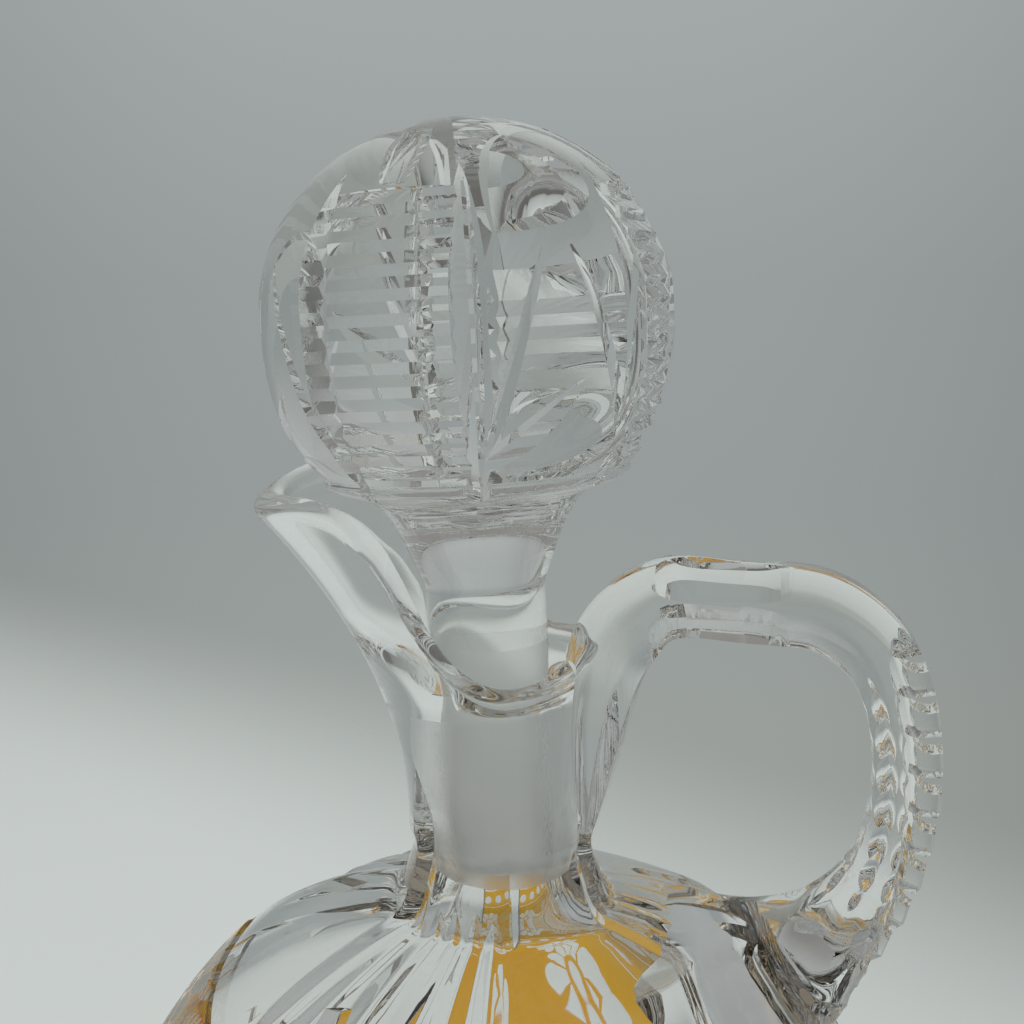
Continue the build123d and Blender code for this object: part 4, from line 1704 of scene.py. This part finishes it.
@dataclass
class Stage:
    """Pale sweep, soft light and the camera."""

    eye: tuple[float, float, float] = (53.85, -215.99, 234.8)
    heading: float = 13.56
    dip: float = 10.0
    focal: float = 45.7
    view: tuple[float, float] = (-0.235, 0.972)
    floor_radii: tuple[float, ...] = (200.0, 500.0, 1000.0, 2000.0, 3000.0)
    floor_level: float = -0.2
    floor_columns: int = 96
    floor_colour: tuple[float, float, float, float] = (0.6, 0.63, 0.615, 1)
    floor_roughness: float = 0.7
    shade: tuple[float, float, float, float] = (0.055, 0.04, 0.03, 1)
    shade_share: float = 0.72
    edge_share: float = 0.15
    lamp_size: tuple[float, float] = (0.7, 0.45)
    lamp_power: float = 4.5
    lamp_place: tuple[float, float, float] = (-0.15, 0.1, 0.95)

    def camera(self) -> None:
        """Place the camera at the photograph's viewing angle."""
        data = bpy.data.cameras.new("camera")
        data.lens = self.focal
        data.sensor_width = 36.0
        data.clip_start = 0.01
        eye = bpy.data.objects.new("camera", data)
        eye.location = Vector(self.eye) * MILLIMETRE
        eye.rotation_euler = (math.radians(90 - self.dip), 0, math.radians(self.heading))
        bpy.context.scene.collection.objects.link(eye)
        bpy.context.scene.camera = eye

    def floor(self) -> None:
        """Make the pale floor, bright under the decanter and fading into the sweep behind it."""
        turn = 2 * math.pi * np.arange(self.floor_columns) / self.floor_columns
        level = np.full(self.floor_columns, self.floor_level)
        rings = [np.stack([radius * np.cos(turn), radius * np.sin(turn), level], axis=1) for radius in self.floor_radii]
        piece = closed_grid("floor", np.array(rings), (0, 0, self.floor_level), None)
        material = bpy.data.materials.new("pale_floor")
        material.use_nodes = True
        tree = material.node_tree
        nodes = Nodes(tree)
        surface = tree.nodes["Principled BSDF"]
        surface.inputs["Base Color"].default_value = self.floor_colour
        surface.inputs["Roughness"].default_value = self.floor_roughness
        place = nodes.add("SeparateXYZ", {0: nodes.add("TexCoord").outputs["Object"]})
        x, y = place.outputs[0], place.outputs[1]
        behind = nodes.math("MULTIPLY_ADD", x, 0.42, nodes.math("MULTIPLY", y, 0.9))
        fade = nodes.ramp(behind, 0.14, 0.4)
        around = nodes.math("SQRT", nodes.math("ADD", nodes.math("MULTIPLY", x, x), nodes.math("MULTIPLY", y, y)))
        fade = nodes.math("MAXIMUM", fade, nodes.ramp(around, 0.9, 2.6))
        clear = nodes.add("BsdfTransparent")
        mixed = nodes.add("MixShader", {0: fade, 1: surface.outputs[0], 2: clear.outputs[0]})
        tree.links.new(mixed.outputs[0], tree.nodes["Material Output"].inputs["Surface"])
        for index in range(len(piece.data.materials)):
            piece.data.materials[index] = material

    def sky(self) -> None:
        """Make the soft grey surroundings, lighter above and darker on the camera's side."""
        world = bpy.data.worlds.new("studio")
        bpy.context.scene.world = world
        world.use_nodes = True
        tree = world.node_tree
        nodes = Nodes(tree)
        place = nodes.add("SeparateXYZ", {0: nodes.add("TexCoord").outputs["Generated"]})
        x, y, z = place.outputs
        ramp = nodes.add("ValToRGB", {0: nodes.math("MULTIPLY_ADD", z, 0.5, 0.5)})
        stops = [
            (0.0, (0.34, 0.36, 0.35)),
            (0.34, (0.325, 0.35, 0.335)),
            (0.42, (0.305, 0.335, 0.33)),
            (0.5, (0.315, 0.345, 0.34)),
            (0.6, (0.37, 0.40, 0.395)),
            (0.75, (0.45, 0.47, 0.465)),
            (0.9, (0.74, 0.76, 0.75)),
            (1.0, (0.9, 0.9, 0.9)),
        ]
        elements = ramp.color_ramp.elements
        while len(elements) < len(stops):
            elements.new(0.5)
        for element, (spot, colour) in zip(elements, stops):
            element.position = spot
            element.color = (*colour, 1)
        front = nodes.math("MULTIPLY_ADD", x, -self.view[0], nodes.math("MULTIPLY", y, -self.view[1]))
        low = nodes.math("SUBTRACT", 1.0, nodes.ramp(z, 0.15, 0.6))
        shade = nodes.math("MULTIPLY", nodes.ramp(front, 0.2, 0.9), low)
        path = nodes.add("LightPath")
        shade = nodes.math("MULTIPLY", shade, nodes.math("SUBTRACT", 1.0, path.outputs["Is Camera Ray"]))
        mirrored = nodes.math("MULTIPLY", nodes.ramp(z, 0.35, 0.85), path.outputs["Is Glossy Ray"])
        shade = nodes.math("MAXIMUM", shade, mirrored)
        ahead = nodes.math("MULTIPLY_ADD", x, self.view[0], nodes.math("MULTIPLY", y, self.view[1]))
        level = nodes.math("SQRT", nodes.math("MULTIPLY_ADD", nodes.math("MULTIPLY", z, z), -1.0, 1.0001))
        ahead = nodes.math("DIVIDE", ahead, level)
        edge = nodes.ramp(nodes.math("SUBTRACT", 1.0, ahead), 0.0, 0.1)
        soft = nodes.mix(nodes.math("MULTIPLY", edge, self.edge_share), ramp.outputs[0], (0, 0, 0, 1))
        colour = nodes.mix(nodes.math("MULTIPLY", shade, self.shade_share), soft, self.shade)
        background = tree.nodes["Background"]
        tree.links.new(colour, background.inputs["Color"])
        background.inputs["Strength"].default_value = 1.0

    def lamps(self) -> None:
        """Hang one soft lamp over the decanter."""
        data = bpy.data.lights.new("overhead", "AREA")
        data.shape = "RECTANGLE"
        data.size, data.size_y = self.lamp_size
        data.energy = self.lamp_power
        lamp = bpy.data.objects.new("overhead", data)
        lamp.location = self.lamp_place
        lamp.visible_glossy = False
        lamp.visible_transmission = False
        bpy.context.scene.collection.objects.link(lamp)

    def build(self) -> None:
        """Set the whole stage."""
        self.camera()
        self.floor()
        self.sky()
        self.lamps()
        scene = bpy.context.scene
        scene.view_settings.view_transform = "Standard"
        scene.cycles.max_bounces = 24
        scene.cycles.transmission_bounces = 24
        scene.cycles.glossy_bounces = 12
        scene.cycles.transparent_max_bounces = 32


def dress(piece: bpy.types.Object, node: str, body: Body, skins: dict[Skin, bpy.types.Material]) -> None:
    """Give a piece its finishes and let it stand for its CAD node.

    Args:
        piece: The piece.
        node: CAD node that it replaces.
        body: Body that it rides on.
        skins: Material of each skin.
    """
    for skin in Skin:
        piece.data.materials[skin.value] = skins.get(skin, skins[Skin.POLISHED])
    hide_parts(node)
    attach(piece, body.value)
    LOG.info("%s: %d faces", piece.name, len(piece.data.polygons))


def main() -> None:
    """Build every piece in order and note the sizes."""
    effects = Effects()
    seam = seam_material()
    body_glass = GlassFinish("clear_body_glass", ripple=0.16, ripple_scale=55.0).build(effects)
    stopper_glass = GlassFinish("clear_stopper_glass", ripple=0.03).build(effects)
    handle_glass = GlassFinish("clear_handle_glass", ripple=0.08, ripple_scale=60.0).build(effects)
    cut_glass = GlassFinish("wheel_cut_glass", ripple=0.04, ripple_scale=240.0, marks=0.08).build(effects)
    ground_glass = GlassFinish("ground_glass", colour=(0.99, 0.985, 0.975, 1), ground=True, bump=0.08).build(effects)
    amber_glass = AmberFinish().build(Engraving(), effects)

    handle = Handle().build()
    vessel = Vessel()
    panels = AmberPanels(vessel).build()
    body = vessel.build(handle)
    stopper = Stopper().build()
    for piece, degrees in ((body, 24), (handle, 30), (stopper, 22)):
        sharpen(piece, degrees)
    clear = {Skin.POLISHED: body_glass, Skin.GROUND: ground_glass, Skin.SEAM: seam, Skin.CUT: cut_glass}
    dress(body, "vessel", Body.VESSEL, clear)
    dress(handle, "handle", Body.VESSEL, {**clear, Skin.POLISHED: handle_glass})
    dress(stopper, "stopper", Body.STOPPER, {**clear, Skin.POLISHED: stopper_glass})
    for panel in panels:
        node = panel.name.removesuffix("_glass")
        dress(panel, node, Body.VESSEL, {Skin.POLISHED: amber_glass, Skin.SEAM: seam})
    Stage().build()


def corners(bounds: Sequence[Sequence[float]]) -> list[list[float]]:
    """Return a box as plain lists of numbers."""
    return [[round(float(value), 5) for value in corner] for corner in bounds]


if __name__ == "__main__":
    main()
